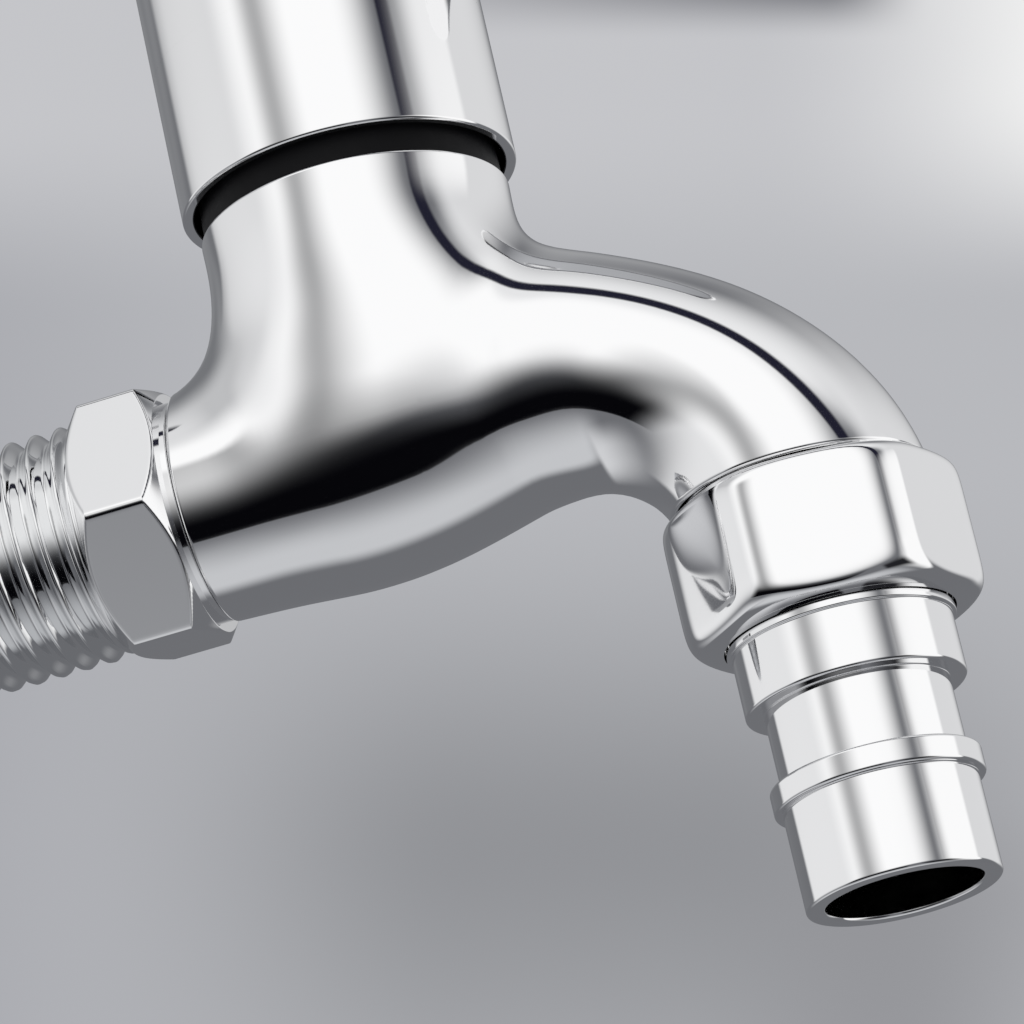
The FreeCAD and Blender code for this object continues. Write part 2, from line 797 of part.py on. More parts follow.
def write_parts():
    os.makedirs("parts", exist_ok=True)
    for make in NODES:
        shape = make()
        solids = len(shape.Solids)
        print(make.__name__, "solids", solids, "valid", shape.isValid(), "volume", round(shape.Volume, 1))
        shape.exportStep("parts/" + make.__name__ + ".step")


write_parts()
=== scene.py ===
import math

import bmesh
import bpy
import numpy as np
from mathutils import Matrix, Vector


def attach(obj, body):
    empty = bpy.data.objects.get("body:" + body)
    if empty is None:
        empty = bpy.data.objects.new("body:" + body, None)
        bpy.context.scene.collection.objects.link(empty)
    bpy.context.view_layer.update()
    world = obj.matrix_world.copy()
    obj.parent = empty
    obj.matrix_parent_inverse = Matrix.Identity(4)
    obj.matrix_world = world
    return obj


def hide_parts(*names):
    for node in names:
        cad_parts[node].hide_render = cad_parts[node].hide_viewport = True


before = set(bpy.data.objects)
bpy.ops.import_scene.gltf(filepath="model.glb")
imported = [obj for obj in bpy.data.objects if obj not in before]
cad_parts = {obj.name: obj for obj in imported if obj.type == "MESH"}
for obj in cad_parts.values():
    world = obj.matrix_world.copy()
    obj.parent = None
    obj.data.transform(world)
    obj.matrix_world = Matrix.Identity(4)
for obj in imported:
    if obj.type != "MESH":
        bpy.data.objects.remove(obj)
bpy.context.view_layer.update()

bl_info = {
    "name": "Washing machine tap",
    "version": (1, 0, 0),
    "blender": (4, 5, 0),
    "location": "3D View > Sidebar > Tap",
    "description": "Dresses the packed washing machine tap: polished casting, threads, soft nuts, studio",
    "category": "Add Mesh",
}

MM = 0.001
TURN = 2 * math.pi


# Sizes and finishes that a user would change. Lengths are millimetres in the row frame.

def number(name, description, default, low, high):
    return bpy.props.FloatProperty(
        name=name, description=description, default=default, min=low, max=high, precision=3)


def colour(name, description, default):
    return bpy.props.FloatVectorProperty(
        name=name, description=description, default=default, size=3, min=0.0, max=1.0, subtype="COLOR")


class TAP_casting_sizes(bpy.types.PropertyGroup):
    cell: number("Mesh cell", "Size of the casting's mesh cells", 0.8, 0.3, 3.0)
    wall_blend: number(
        "Wall side blend", "How far neck and tube flow into each other at the wall", 4.58, 0.5, 12.0)
    spout_blend: number(
        "Spout side blend", "How far neck and tube flow into each other at the spout", 2.82, 0.5, 12.0)
    edge: number("Edge rounding", "Rounding of the casting's cut edges", 0.4, 0.05, 1.0)


class TAP_nipple_sizes(bpy.types.PropertyGroup):
    thread_pitch: number(
        "Thread pitch", "Distance from one turn of the inlet thread to the next", 2.309, 0.5, 4.0)
    thread_depth: number("Thread depth", "Height of the inlet thread", 1.162, 0.1, 3.0)
    crease: number("Hexagon crease", "Softness of the creases of the inlet hexagon", 0.22, 0.02, 2.0)


class TAP_nut_sizes(bpy.types.PropertyGroup):
    side_crown: number(
        "Flatness of the sides", "Higher makes flatter sides and sharper upright edges", 13.1, 2.0, 80.0)
    end_crown: number("Flatness of the ends", "Higher makes flatter ends", 21.0, 2.0, 80.0)
    top_round: number("Top rounding", "Lower rounds the six upper corners more", 8.2, 2.0, 80.0)
    foot_round: number("Foot rounding", "Lower rounds the six lower corners more", 6.1, 2.0, 80.0)
    edge_crown: number(
        "Sharpness of the panels", "Higher makes sharper borders round the six panels", 36.0, 2.0, 80.0)


class TAP_nozzle_sizes(bpy.types.PropertyGroup):
    thread_pitch: number(
        "Outlet thread pitch", "Distance between turns of the outlet's thread", 1.814, 0.5, 4.0)
    thread_depth: number("Outlet thread depth", "Height of the outlet's thread", 1.0, 0.1, 3.0)


class TAP_handle_sizes(bpy.types.PropertyGroup):
    cell: number("Mesh cell", "Size of the lever's mesh cells", 0.55, 0.3, 3.0)
    blend: number("Lever blend", "How far the lever and the hub flow into each other", 3.0, 0.2, 8.0)


class TAP_finishes(bpy.types.PropertyGroup):
    chrome: colour("Chrome", "Colour of the polished chrome", (0.9, 0.9, 0.905))
    thread_chrome: colour("Thread chrome", "Colour of the chrome on the thread", (0.84, 0.845, 0.85))
    polish: number("Polish", "Roughness of the polished chrome", 0.035, 0.0, 1.0)
    # Near-black colour of the ring that fills the band between the neck top and the handle skirt
    plastic: colour("Black ring", "Colour of the ring under the handle", (0.006, 0.006, 0.007))


class TAP_studio_settings(bpy.types.PropertyGroup):
    backdrop: colour("Backdrop", "Colour of the backdrop behind the tap", (0.478, 0.485, 0.51))
    surround: colour("Surround", "Colour that the chrome mirrors between the cards", (0.163, 0.167, 0.18))
    softbox: number("Card level", "Brightness of what the chrome mirrors", 1.0, 0.0, 2.0)


SETTINGS = (
    ("tap_casting", TAP_casting_sizes),
    ("tap_nipple", TAP_nipple_sizes),
    ("tap_nut", TAP_nut_sizes),
    ("tap_nozzle", TAP_nozzle_sizes),
    ("tap_handle", TAP_handle_sizes),
    ("tap_finishes", TAP_finishes),
    ("tap_studio", TAP_studio_settings),
)


# Meshes

def show(name, mesh, body, slot_name, material, *nodes):
    """Shows a mesh as one piece that rides on a body and stands for that body's nodes."""
    mesh.materials.append(material)
    mesh.update()
    obj = bpy.data.objects.new(name, mesh)
    bpy.context.scene.collection.objects.link(obj)
    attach(obj, body)
    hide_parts(*nodes)


def piece_from(name, points, faces, normals, body, slot_name, material, *nodes):
    """Shows a piece made of points and their normals, in millimetres."""
    mesh = bpy.data.meshes.new(name)
    mesh.from_pydata((points * MM).tolist(), [], faces)
    mesh.validate()
    mesh.polygons.foreach_set("use_smooth", [True] * len(mesh.polygons))
    mesh.normals_split_custom_set_from_vertices(normals.tolist())
    show(name, mesh, body, slot_name, material, *nodes)


def read(items, name, width=1, kind=float):
    """One property of all a mesh's points, edges, faces or corners, a row for each."""
    values = np.empty(len(items) * width, kind)
    items.foreach_get(name, values)
    return values.reshape(-1, width) if width > 1 else values


def grid_faces(rows, columns, first=0, rows_closed=False):
    """Quads of a grid whose columns close into a ring."""
    faces = []
    last = rows if rows_closed else rows - 1
    for i in range(last):
        here, there = first + i * columns, first + (i + 1) % rows * columns
        for j in range(columns):
            k = (j + 1) % columns
            faces.append((here + j, here + k, there + k, there + j))
    return faces


def ring_angles(segments):
    return np.arange(segments) * TURN / segments


def turned(r, along, theta, axis):
    """Points at a distance from an upright axis ("Z") or the inlet axis ("X"), and along it."""
    run = along * np.ones_like(theta)
    across, upward = r * np.cos(theta), r * np.sin(theta)
    return np.stack([across, upward, run] if axis == "Z" else [run, across, upward], -1)


def rounded_profile(corners, closed, steps=6):
    """Points and outward normals of a profile. Each corner is (across, along, rounding);
    across is the distance from the axis, and the profile runs with the metal on its left."""
    places = np.array([corner[:2] for corner in corners], float)
    runs = np.roll(places, -1, 0) - places
    runs /= np.hypot(*runs.T)[:, None]
    points, normals = [], []
    for i, (here, corner) in enumerate(zip(places, corners)):
        before, after = runs[i - 1], runs[i]
        if not closed and i == 0:
            before = after
        if not closed and i == len(places) - 1:
            after = before
        start, end = math.atan2(-before[0], before[1]), math.atan2(-after[0], after[1])
        sweep = (end - start + math.pi) % TURN - math.pi
        radius = corner[2] * np.sign(sweep)
        middle = here - radius * (before * math.tan(sweep / 2) + (before[1], -before[0]))
        for a in start + sweep * np.linspace(0, 1, steps + 1 if sweep else 1):
            normal = np.array((math.cos(a), math.sin(a)))
            points.append(middle + radius * normal)
            normals.append(normal)
    return np.array(points), np.array(normals)


def lathe(corners, segments, centre_x, axis="Z", closed=False):
    """Turns a profile of rounded corners about an axis: its points, faces and normals."""
    profile, normals = rounded_profile(corners, closed)
    theta = ring_angles(segments)
    points = turned(profile[:, :1], profile[:, 1:], theta, axis) + (centre_x, 0, 0)
    directions = turned(normals[:, :1], normals[:, 1:], theta, axis)
    faces = grid_faces(len(profile), segments, rows_closed=closed)
    return points.reshape(-1, 3), faces, directions.reshape(-1, 3)


def skin_of(grid):
    """Points, faces and normals of a grid of points whose columns close into a ring."""
    round_it = np.roll(grid, -1, 1) - np.roll(grid, 1, 1)
    normals = np.cross(round_it, np.gradient(grid, axis=0)).reshape(-1, 3)
    normals /= np.maximum(np.linalg.norm(normals, axis=1), 1e-12)[:, None]
    return grid.reshape(-1, 3), grid_faces(*grid.shape[:2]), normals


def joined(*parts):
    """Several (points, faces, normals) as one."""
    points, faces, normals = [], [], []
    for part_points, part_faces, part_normals in parts:
        first = sum(len(p) for p in points)
        points.append(part_points)
        normals.append(part_normals)
        faces += [tuple(v + first for v in face) for face in part_faces]
    return np.concatenate(points), faces, np.concatenate(normals)


def dense(profile, step):
    """Adds points to the long runs of a profile."""
    points = [profile[0]]
    for here, there in zip(profile[:-1], profile[1:]):
        count = max(1, int(math.ceil(np.hypot(*(there - here)) / step)))
        points += [here + (there - here) * k / count for k in range(1, count + 1)]
    return np.array(points)


def hexagon_reach(theta, flats, corner_r, first_corner):
    """Distance from the axis to the side of a hexagon with rounded corners."""
    half = flats / 2
    off_corner = np.abs((theta - first_corner + math.pi / 6) % (math.pi / 3) - math.pi / 6)
    off_flat = math.pi / 6 - off_corner
    centre = (half - corner_r) / math.cos(math.pi / 6)
    tangent = math.atan((half - corner_r) * math.tan(math.pi / 6) / half)
    inside = np.maximum(corner_r ** 2 - (centre * np.sin(off_corner)) ** 2, 0.0)
    arc = centre * np.cos(off_corner) + np.sqrt(inside)
    return np.where(off_flat > tangent, arc, half / np.cos(off_flat))


def hexagonal(profile, segments, flats, corner_r, first_corner, crease):
    """Turns a profile about the inlet axis and cuts it back to a hexagon, with soft creases."""
    theta = ring_angles(segments)
    reach = hexagon_reach(theta, flats, corner_r, first_corner)
    return skin_of(turned(soft_least(profile[:, :1], reach, crease), profile[:, 1:], theta, "X"))


# How far two fields mix on either side of where they meet, for one millimetre of softness
MIX_REACH = 1.4
# Below this squared slope a field counts as flat, so that no point is thrown far away
FLAT_SLOPE = 0.05


def soft_least(a, b, softness):
    """The lesser of two fields, flowing into each other with no jump in curvature."""
    reach = MIX_REACH * softness
    mix = np.maximum(reach - np.abs(a - b), 0.0) / np.maximum(reach, 1e-9)
    return np.minimum(a, b) - reach * mix ** 3 / 6


def soft_most(a, b, softness):
    return -soft_least(-a, -b, softness)


def spline_through(stations, column=1):
    """A smooth curve through (place, value...) stations, flat beyond both ends."""
    places = np.array([s[0] for s in stations], float)
    values = np.array([s[column] for s in stations], float)
    n = len(places)
    gaps = np.diff(places)
    slopes = np.diff(values) / gaps
    matrix = np.zeros((n, n))
    right = np.zeros(n)
    matrix[0, 0] = matrix[-1, -1] = 1.0
    for i in range(1, n - 1):
        matrix[i, i - 1] = gaps[i]
        matrix[i, i] = 2 * (gaps[i - 1] + gaps[i])
        matrix[i, i + 1] = gaps[i - 1]
        right[i] = 3 * (gaps[i] * slopes[i - 1] + gaps[i - 1] * slopes[i])
    tangents = np.linalg.solve(matrix, right)

    def value_at(place):
        inside = np.clip(place, places[0], places[-1])
        k = np.clip(np.searchsorted(places, inside, "right") - 1, 0, n - 2)
        t = (inside - places[k]) / gaps[k]
        h00 = (1 + 2 * t) * (1 - t) ** 2
        h10 = t * (1 - t) ** 2
        h01 = t * t * (3 - 2 * t)
        h11 = t * t * (t - 1)
        return (h00 * values[k] + h10 * gaps[k] * tangents[k]
                + h01 * values[k + 1] + h11 * gaps[k] * tangents[k + 1])

    return value_at


def slope_of(field, points, step=0.02):
    """Gradient of a field at the points, by central differences."""
    slope = np.empty_like(points)
    for axis in range(3):
        offset = np.zeros(3)
        offset[axis] = step
        slope[:, axis] = (field(points + offset) - field(points - offset)) / (2 * step)
    return slope


def settle(points, field, rounds, square_to=None):
    """Moves the points along the field's slope until they lie on its zero surface, and keeps
    them in their plane square to a direction where one is given."""
    for _ in range(rounds):
        slope = slope_of(field, points)
        if square_to is not None:
            slope -= (slope @ square_to)[:, None] * square_to
        steepness = np.maximum((slope ** 2).sum(1), FLAT_SLOPE)
        points = points - field(points)[:, None] * slope / steepness[:, None]
    return points


def skinned(name, shells, cell):
    """Joins closed shells of rings into one evenly meshed skin, in millimetres."""
    mesh = bpy.data.meshes.new(name + "_blank")
    points, faces = [], []
    for rings in shells:
        first = len(points)
        columns = len(rings[0])
        for ring in rings:
            points += [tuple(p) for p in ring]
        faces += grid_faces(len(rings), columns, first)
        faces.append(tuple(range(first + columns - 1, first - 1, -1)))
        last = first + (len(rings) - 1) * columns
        faces.append(tuple(range(last, last + columns)))
    mesh.from_pydata(points, [], faces)
    mesh.update()
    blank = bpy.data.objects.new(name + "_blank", mesh)
    bpy.context.scene.collection.objects.link(blank)
    remesh = blank.modifiers.new("Remesh", "REMESH")
    remesh.mode = "VOXEL"
    remesh.voxel_size = cell
    remesh.adaptivity = 0.0
    graph = bpy.context.evaluated_depsgraph_get()
    skin = bpy.data.meshes.new_from_object(blank.evaluated_get(graph))
    bpy.data.objects.remove(blank)
    return skin


def even_out(mesh, field, rounds=6):
    """Settles the skin on the field and spreads its points evenly over it."""
    points = settle(read(mesh.vertices, "co", 3), field, 4)
    pairs = read(mesh.edges, "vertices", 2, int)
    neighbours = np.bincount(pairs.ravel(), minlength=len(points))[:, None]
    for _ in range(rounds):
        total = np.zeros_like(points)
        np.add.at(total, pairs[:, 0], points[pairs[:, 1]])
        np.add.at(total, pairs[:, 1], points[pairs[:, 0]])
        points = settle(points * 0.5 + 0.5 * total / neighbours, field, 2)
    points = settle(points, field, 3)
    mesh.vertices.foreach_set("co", points.ravel())
    mesh.update()


# Shape of the casting, in millimetres

NECK_X = 27.3
NECK_R = 13.69
NECK_TOP_Z = 22.25
NECK_BORE_R = 10.53
OUTLET_X = 59.96
BODY_START_X = 8.8
SHOULDER_Z = -13.5
OUTLET_END_Z = -19.5
INLET_HOLE_R = 7.9
THREAD_R = 10.4775
MOUTH_DEPTH = 4.0
SHOULDER_DEPTH = 0.2
BEND_R = 20.4
BEND_CENTRE = (39.56, -18.07)
RISE_ANGLE = math.radians(14.0)
RISE_JOIN = (
    BEND_CENTRE[0] - BEND_R * math.sin(RISE_ANGLE), BEND_CENTRE[1] + BEND_R * math.cos(RISE_ANGLE))
RISE_R = RISE_JOIN[1] / (1 - math.cos(RISE_ANGLE))
RISE_START_X = RISE_JOIN[0] - RISE_R * math.sin(RISE_ANGLE)
BEND_START = RISE_R * RISE_ANGLE

# Along the water tube, the first at the wall: place on the centre line from the start of the
# rise, radius, and how far the section is lifted to the outside of the bend
TUBE_STATIONS = [
    (-22.0, 9.53, 0.0),
    (-11.5, 9.93, 0.0),
    (-5.75, 10.25, 0.0),
    (0.0, 10.75, 0.0),
    (BEND_START / 2, 11.14, 0.35),
    (BEND_START, 10.7, 0.3),
    (BEND_START + 5.0, 10.92, 0.7),
    (BEND_START + 11.4, 10.09, 0.27),
    (BEND_START + 18.5, 9.89, -0.03),
    (BEND_START + 24.9, 10.26, 0.0),
    (BEND_START + 32.0, 10.83, 0.0),
    (BEND_START + 40.0, 10.83, 0.0),
]
# Up the neck: height, extra reach to the wall, extra reach to the spout, half width
NECK_STATIONS = [
    (-7.0, 5.67, 3.37, 7.36),
    (-4.0, 6.87, 4.57, 9.66),
    (0.0, 5.99, 5.06, 11.78),
    (3.5, 4.91, 5.31, 12.48),
    (6.9, 4.09, 4.78, 12.71),
    (10.9, 1.98, 2.89, 13.01),
    (14.5, 0.67, 1.07, 13.38),
    (18.5, 0.0, 0.0, 13.69),
    (22.3, 0.0, 0.0, 13.69),
    (26.0, 0.0, 0.0, 13.69),
]
NECK_FOOT_Z = -6.0
NECK_FOOT_SOFTNESS = 4.5
# The blend where neck and tube run the same way, and how far the wall's blend takes to
# become the spout's
CROSSING_BLEND = 1.08
SIDE_CHANGE = 4.0
# The shells that the casting's skin is made from before it settles on its field. The tube's
# has one radius and leads in before the cut end. The neck's is given ring by ring, as height,
# radius and half width, slimmer where it stands in the tube.
BLANK_R = 10.0
BLANK_LEAD = 4.0
NECK_BLANK = (
    (0.0, NECK_R, 11.0), (7.0, NECK_R, 11.0), (11.0, NECK_R, 13.0), (25.5, NECK_R, 13.0))


def tube_field(points):
    """Signed distance from the water tube, and the direction straight out of it."""
    x, y, z = points[:, 0], points[:, 1], points[:, 2]
    rise_turn = np.arctan2(x - RISE_START_X, RISE_R - z)
    rise_far = np.hypot(x - RISE_START_X, RISE_R - z)
    bend_turn = np.arctan2(x - BEND_CENTRE[0], z - BEND_CENTRE[1])
    bend_far = np.hypot(x - BEND_CENTRE[0], z - BEND_CENTRE[1])
    straight = rise_turn <= 0
    in_bend = (bend_turn >= -RISE_ANGLE) & (z > BEND_CENTRE[1])
    down = (z <= BEND_CENTRE[1]) & (x > BEND_CENTRE[0])

    def pick(*values):
        return np.select([down, in_bend, straight], values[:3], values[3])

    place = pick(
        BEND_START + BEND_R * (RISE_ANGLE + math.pi / 2) + BEND_CENTRE[1] - z,
        BEND_START + BEND_R * (bend_turn + RISE_ANGLE), x - RISE_START_X, RISE_R * rise_turn)
    out = pick(x - OUTLET_X, bend_far - BEND_R, z, RISE_R - rise_far)
    none, full = np.zeros_like(x), np.ones_like(x)
    out_x = pick(full, (x - BEND_CENTRE[0]) / bend_far, none, (RISE_START_X - x) / rise_far)
    out_z = pick(none, (z - BEND_CENTRE[1]) / bend_far, full, (RISE_R - z) / rise_far)
    offset = out - tube_lift(place)
    reach = np.maximum(np.hypot(y, offset), 1e-6)
    direction = np.stack([out_x * offset / reach, y / reach, out_z * offset / reach], 1)
    return reach - tube_radius(place), direction


def neck_field(points):
    """Signed distance from the neck, and the direction straight out of it."""
    x, y, z = points[:, 0], points[:, 1], points[:, 2]
    wall, spout, half_y = neck_wall(z), neck_spout(z), neck_half(z)
    half_x = NECK_R + (wall + spout) / 2
    dx = x - (NECK_X + (spout - wall) / 2)
    ratio = np.maximum(np.hypot(dx / half_x, y / half_y), 1e-6)
    gx, gy = dx / half_x ** 2 / ratio, y / half_y ** 2 / ratio
    steepness = np.maximum(np.hypot(gx, gy), 1e-6)
    direction = np.stack([gx / steepness, gy / steepness, np.zeros_like(x)], 1)
    return (ratio - 1) / steepness, direction


tube_radius = spline_through(TUBE_STATIONS, 1)
tube_lift = spline_through(TUBE_STATIONS, 2)
neck_wall = spline_through(NECK_STATIONS, 1)
neck_spout = spline_through(NECK_STATIONS, 2)
neck_half = spline_through(NECK_STATIONS, 3)


def casting_field(wall_blend, spout_blend):
    """The whole casting: neck and tube flow into each other, more where they face apart."""
    def field(points):
        tube, tube_out = tube_field(points)
        neck, neck_out = neck_field(points)
        facing = np.clip((tube_out * neck_out).sum(1), -1.0, 1.0)
        neck = soft_most(neck, NECK_FOOT_Z - points[:, 2], NECK_FOOT_SOFTNESS)
        side = 0.5 + 0.5 * np.tanh((points[:, 0] - NECK_X) / SIDE_CHANGE)
        blend = wall_blend * (1 - side) + spout_blend * side
        return soft_least(tube, neck, blend * (1 - facing) + CROSSING_BLEND)
    return field


def ring_points(centre, across, upward, radius_across, radius_up, segments=48):
    """An ellipse of points round a centre."""
    a = ring_angles(segments)[:, None]
    return (np.array(centre) + np.array(across) * radius_across * np.cos(a)
            + np.array(upward) * radius_up * np.sin(a))


def level_rings(rows, segments):
    """Rings round the neck's axis, each given by its height, radius and half width."""
    return [ring_points((NECK_X, 0, z), (1, 0, 0), (0, 1, 0), r, half_width, segments)
            for z, r, half_width in rows]


def tube_blank(straight=7, bent=24):
    """Rings along the water tube, from before its cut end to the foot of the bend."""
    rings = []
    start_x = BODY_START_X - BLANK_LEAD
    for k in range(straight + 1):
        x = start_x + (RISE_START_X - BODY_START_X + BLANK_LEAD) * k / straight
        rings.append(ring_points((x, 0, 0), (0, 1, 0), (0, 0, 1), BLANK_R, BLANK_R))
    for k in range(1, bent + 1):
        a = -RISE_ANGLE + (RISE_ANGLE + math.pi / 2) * k / bent
        outward = (math.sin(a), 0, math.cos(a))
        centre = (BEND_CENTRE[0] + BEND_R * outward[0], 0, BEND_CENTRE[1] + BEND_R * outward[2])
        rings.append(ring_points(centre, (0, 1, 0), outward, BLANK_R, BLANK_R))
    return rings


def trim(bm, field, point, outward):
    """Cuts the mesh flat, puts the cut exactly on the field and returns the opening's edges."""
    geometry = bm.verts[:] + bm.edges[:] + bm.faces[:]
    bmesh.ops.bisect_plane(
        bm, geom=geometry, plane_co=point, plane_no=outward, clear_outer=True, dist=1e-5)
    rim = []
    for edge in bm.edges:
        if edge.is_boundary:
            middle = (edge.verts[0].co + edge.verts[1].co) / 2
            if abs((middle - Vector(point)).dot(Vector(outward))) < 1e-3:
                rim.append(edge)
    verts = list({vert for edge in rim for vert in edge.verts})
    places = np.array([tuple(vert.co) for vert in verts])
    places = settle(places, field, 4, np.array(outward, float))
    for vert, place in zip(verts, places):
        vert.co = place
    return rim


def add_mouth(bm, rim, centre, outward, rounding, hole_r, depth, segments=96, steps=5):
    """Closes a cut end with a softly rounded edge, a flat face and the wall of its hole."""
    outward, centre = Vector(outward), Vector(centre)
    across = outward.orthogonal().normalized()
    other = outward.cross(across)
    hint = bm.verts.layers.float_vector.get("hint") or bm.verts.layers.float_vector.new("hint")
    edges = list(rim)
    for k in range(1, steps + 1):
        a, before = math.pi / 2 * k / steps, math.pi / 2 * (k - 1) / steps
        made = bmesh.ops.extrude_edge_only(bm, edges=edges)["geom"]
        verts = [g for g in made if isinstance(g, bmesh.types.BMVert)]
        edges = [g for g in made if isinstance(g, bmesh.types.BMEdge) and g.is_boundary]
        step_in = rounding * (math.cos(before) - math.cos(a))
        step_out = rounding * (math.sin(a) - math.sin(before))
        for vert in verts:
            spoke = vert.co - centre
            spoke = (spoke - outward * spoke.dot(outward)).normalized()
            vert.co += outward * step_out - spoke * step_in
            vert[hint] = spoke * math.cos(a) + outward * math.sin(a)
    hole = []
    level = edges[0].verts[0].co.dot(outward)
    for sink in (0.0, depth):
        ring = []
        for k in range(segments):
            a = TURN * k / segments
            place = centre + (across * math.cos(a) + other * math.sin(a)) * hole_r
            place += outward * (level - sink - place.dot(outward))
            ring.append(bm.verts.new(place))
            ring[-1][hint] = outward
        hole.append(ring)
    top, sunk = hole
    hole_edges = []
    for k in range(segments):
        n = (k + 1) % segments
        hole_edges.append(bm.edges.new((top[k], top[n])))
        bm.faces.new((top[k], top[n], sunk[n], sunk[k]))
    bmesh.ops.bridge_loops(bm, edges=edges + hole_edges)


def loop_normals(mesh, field, limit=2e-3):
    """Exact normals on the field and on the rounded mouths, the faces' own ones elsewhere."""
    points = read(mesh.vertices, "co", 3)
    wanted = slope_of(field, points)
    wanted /= np.maximum(np.linalg.norm(wanted, axis=1), 1e-9)[:, None]
    hints = np.zeros_like(points)
    if "hint" in mesh.attributes:
        hints = read(mesh.attributes["hint"].data, "vector", 3)
    hinted = np.linalg.norm(hints, axis=1) > 0.5
    wanted[hinted] = hints[hinted]
    known = hinted | (np.abs(field(points)) < limit)
    totals = read(mesh.polygons, "loop_total", kind=int)
    faces = np.repeat(read(mesh.polygons, "normal", 3), totals, axis=0)
    corners = read(mesh.loops, "vertex_index", kind=int)
    smooth = known[corners] & ((wanted[corners] * faces).sum(1) > 0.7)
    return np.where(smooth[:, None], wanted[corners], faces)


def finish_skin(name, bm, field, body, slot_name, material, *nodes, probes=2000):
    """Turns a mesh in millimetres into a shown piece with exact normals. Some faces are
    probed to find which way is out."""
    bmesh.ops.recalc_face_normals(bm, faces=bm.faces[:])
    bm.normal_update()
    some = bm.faces[:probes]
    outward = slope_of(field, np.array([tuple(face.calc_center_median()) for face in some]))
    if (outward * np.array([tuple(face.normal) for face in some])).sum() < 0:
        bmesh.ops.reverse_faces(bm, faces=bm.faces[:])
    mesh = bpy.data.meshes.new(name)
    bm.to_mesh(mesh)
    bm.free()
    mesh.polygons.foreach_set("use_smooth", [True] * len(mesh.polygons))
    normals = loop_normals(mesh, field)
    mesh.transform(Matrix.Scale(MM, 4))
    mesh.normals_split_custom_set(normals.tolist())
    show(name, mesh, body, slot_name, material, *nodes)


# Materials

GRAIN_HEIGHT = 0.1 * MM


def new_material(name, base, roughness, metallic):
    material = bpy.data.materials.new(name)
    material.use_nodes = True
    shader = material.node_tree.nodes["Principled BSDF"]
    shader.inputs["Base Color"].default_value = (*base, 1.0)
    shader.inputs["Roughness"].default_value = roughness
    shader.inputs["Metallic"].default_value = metallic
    return material, shader


def add_node(tree, kind, output, inputs, **settings):
    """Adds a node with its settings, gives its inputs values or links, and returns an output."""
    node = tree.nodes.new(kind)
    for name, value in settings.items():
        setattr(node, name, value)
    for name, value in inputs.items():
        if isinstance(value, bpy.types.NodeSocket):
            tree.links.new(value, node.inputs[name])
        else:
            node.inputs[name].default_value = value
    return node.outputs[output]


def vary_roughness(shader, low, high, scale, detail=3.0):
    """Lets noise on the piece's own coordinates move the roughness, and returns that noise."""
    tree = shader.id_data
    place = add_node(tree, "ShaderNodeTexCoord", "Object", {})
    noise = add_node(
        tree, "ShaderNodeTexNoise", "Fac", {"Vector": place, "Scale": scale, "Detail": detail})
    spread = add_node(
        tree, "ShaderNodeMapRange", "Result", {"Value": noise, "To Min": low, "To Max": high})
    tree.links.new(spread, shader.inputs["Roughness"])
    return noise


def chrome(name, base, low, high, scale=40.0):
    """Polished chrome whose gloss varies a little, as after wiping."""
    material, shader = new_material(name, base, low, 1.0)
    vary_roughness(shader, low, high, scale)
    return material


def best_chrome(name, finish, low=1.0, high=1.6):
    """The chrome of the smooth pieces, low to high times as rough as the polish that is set."""
    return chrome(name, finish.chrome, finish.polish * low, finish.polish * high)


def plain(name, base, roughness, metallic, scale, bump, shine=0.5):
    """Moulded, turned or lapped material with fine grain."""
    material, shader = new_material(name, base, roughness, metallic)
    shader.inputs["Specular IOR Level"].default_value = shine
    grain = vary_roughness(shader, roughness * 0.85, min(1.0, roughness * 1.15), scale, 5.0)
    tree = shader.id_data
    raised = add_node(
        tree, "ShaderNodeBump", "Normal",
        {"Strength": bump, "Distance": GRAIN_HEIGHT, "Height": grain})
    tree.links.new(raised, shader.inputs["Normal"])
    return material


# Operators, one for each piece or group of like pieces

class TAP_OT_casting(bpy.types.Operator):
    """Build the cast body as one polished skin"""
    bl_idname = "tap.casting"
    bl_label = "Cast body"

    def execute(self, context):
        sizes = context.scene.tap_casting
        finish = context.scene.tap_finishes
        field = casting_field(sizes.wall_blend, sizes.spout_blend)
        skin = skinned("casting", [tube_blank(), level_rings(NECK_BLANK, 48)], sizes.cell)
        even_out(skin, field)
        bm = bmesh.new()
        bm.from_mesh(skin)
        for centre, outward, hole_r, depth in (
                ((NECK_X, 0, NECK_TOP_Z), (0, 0, 1), NECK_BORE_R, MOUTH_DEPTH),
                ((BODY_START_X, 0, 0), (-1, 0, 0), INLET_HOLE_R, MOUTH_DEPTH),
                ((OUTLET_X, 0, SHOULDER_Z), (0, 0, -1), THREAD_R, SHOULDER_DEPTH)):
            cut = [place - way * sizes.edge for place, way in zip(centre, outward)]
            rim = trim(bm, field, cut, outward)
            add_mouth(bm, rim, centre, outward, sizes.edge, hole_r, depth)
        material = best_chrome("cast_chrome", finish)
        finish_skin("casting", bm, field, "tap_body", "cast_chrome", material, "body")
        return {"FINISHED"}


THREAD_END_X = -14.6
THREAD_CHAMFER = 0.7
THREAD_SOFTNESS = 0.15
# How straight the flanks of the turns are, from 0 for a sine to 1 for a zigzag
THREAD_FLANK = 0.95
# The turns fade out over this length, to this share of their depth below the crest
RUN_OUT = 0.9
RUN_OUT_DEPTH = 0.6
INLET_FLATS = 21.6
INLET_HEX_LENGTH = 8.0
INLET_HEX_TURN = math.radians(9.12)
INLET_HEX_CORNER_R = 0.35
INLET_FACE_INSET = 0.1
WALL_CHAMFER = 1.45
BODY_CHAMFER = 1.4
COLLAR_R = 9.86
SPIGOT_R = 7.8
SPIGOT_END_X = 15.6
WATERWAY_R = 5.0
INLET_BORE_R = 7.0
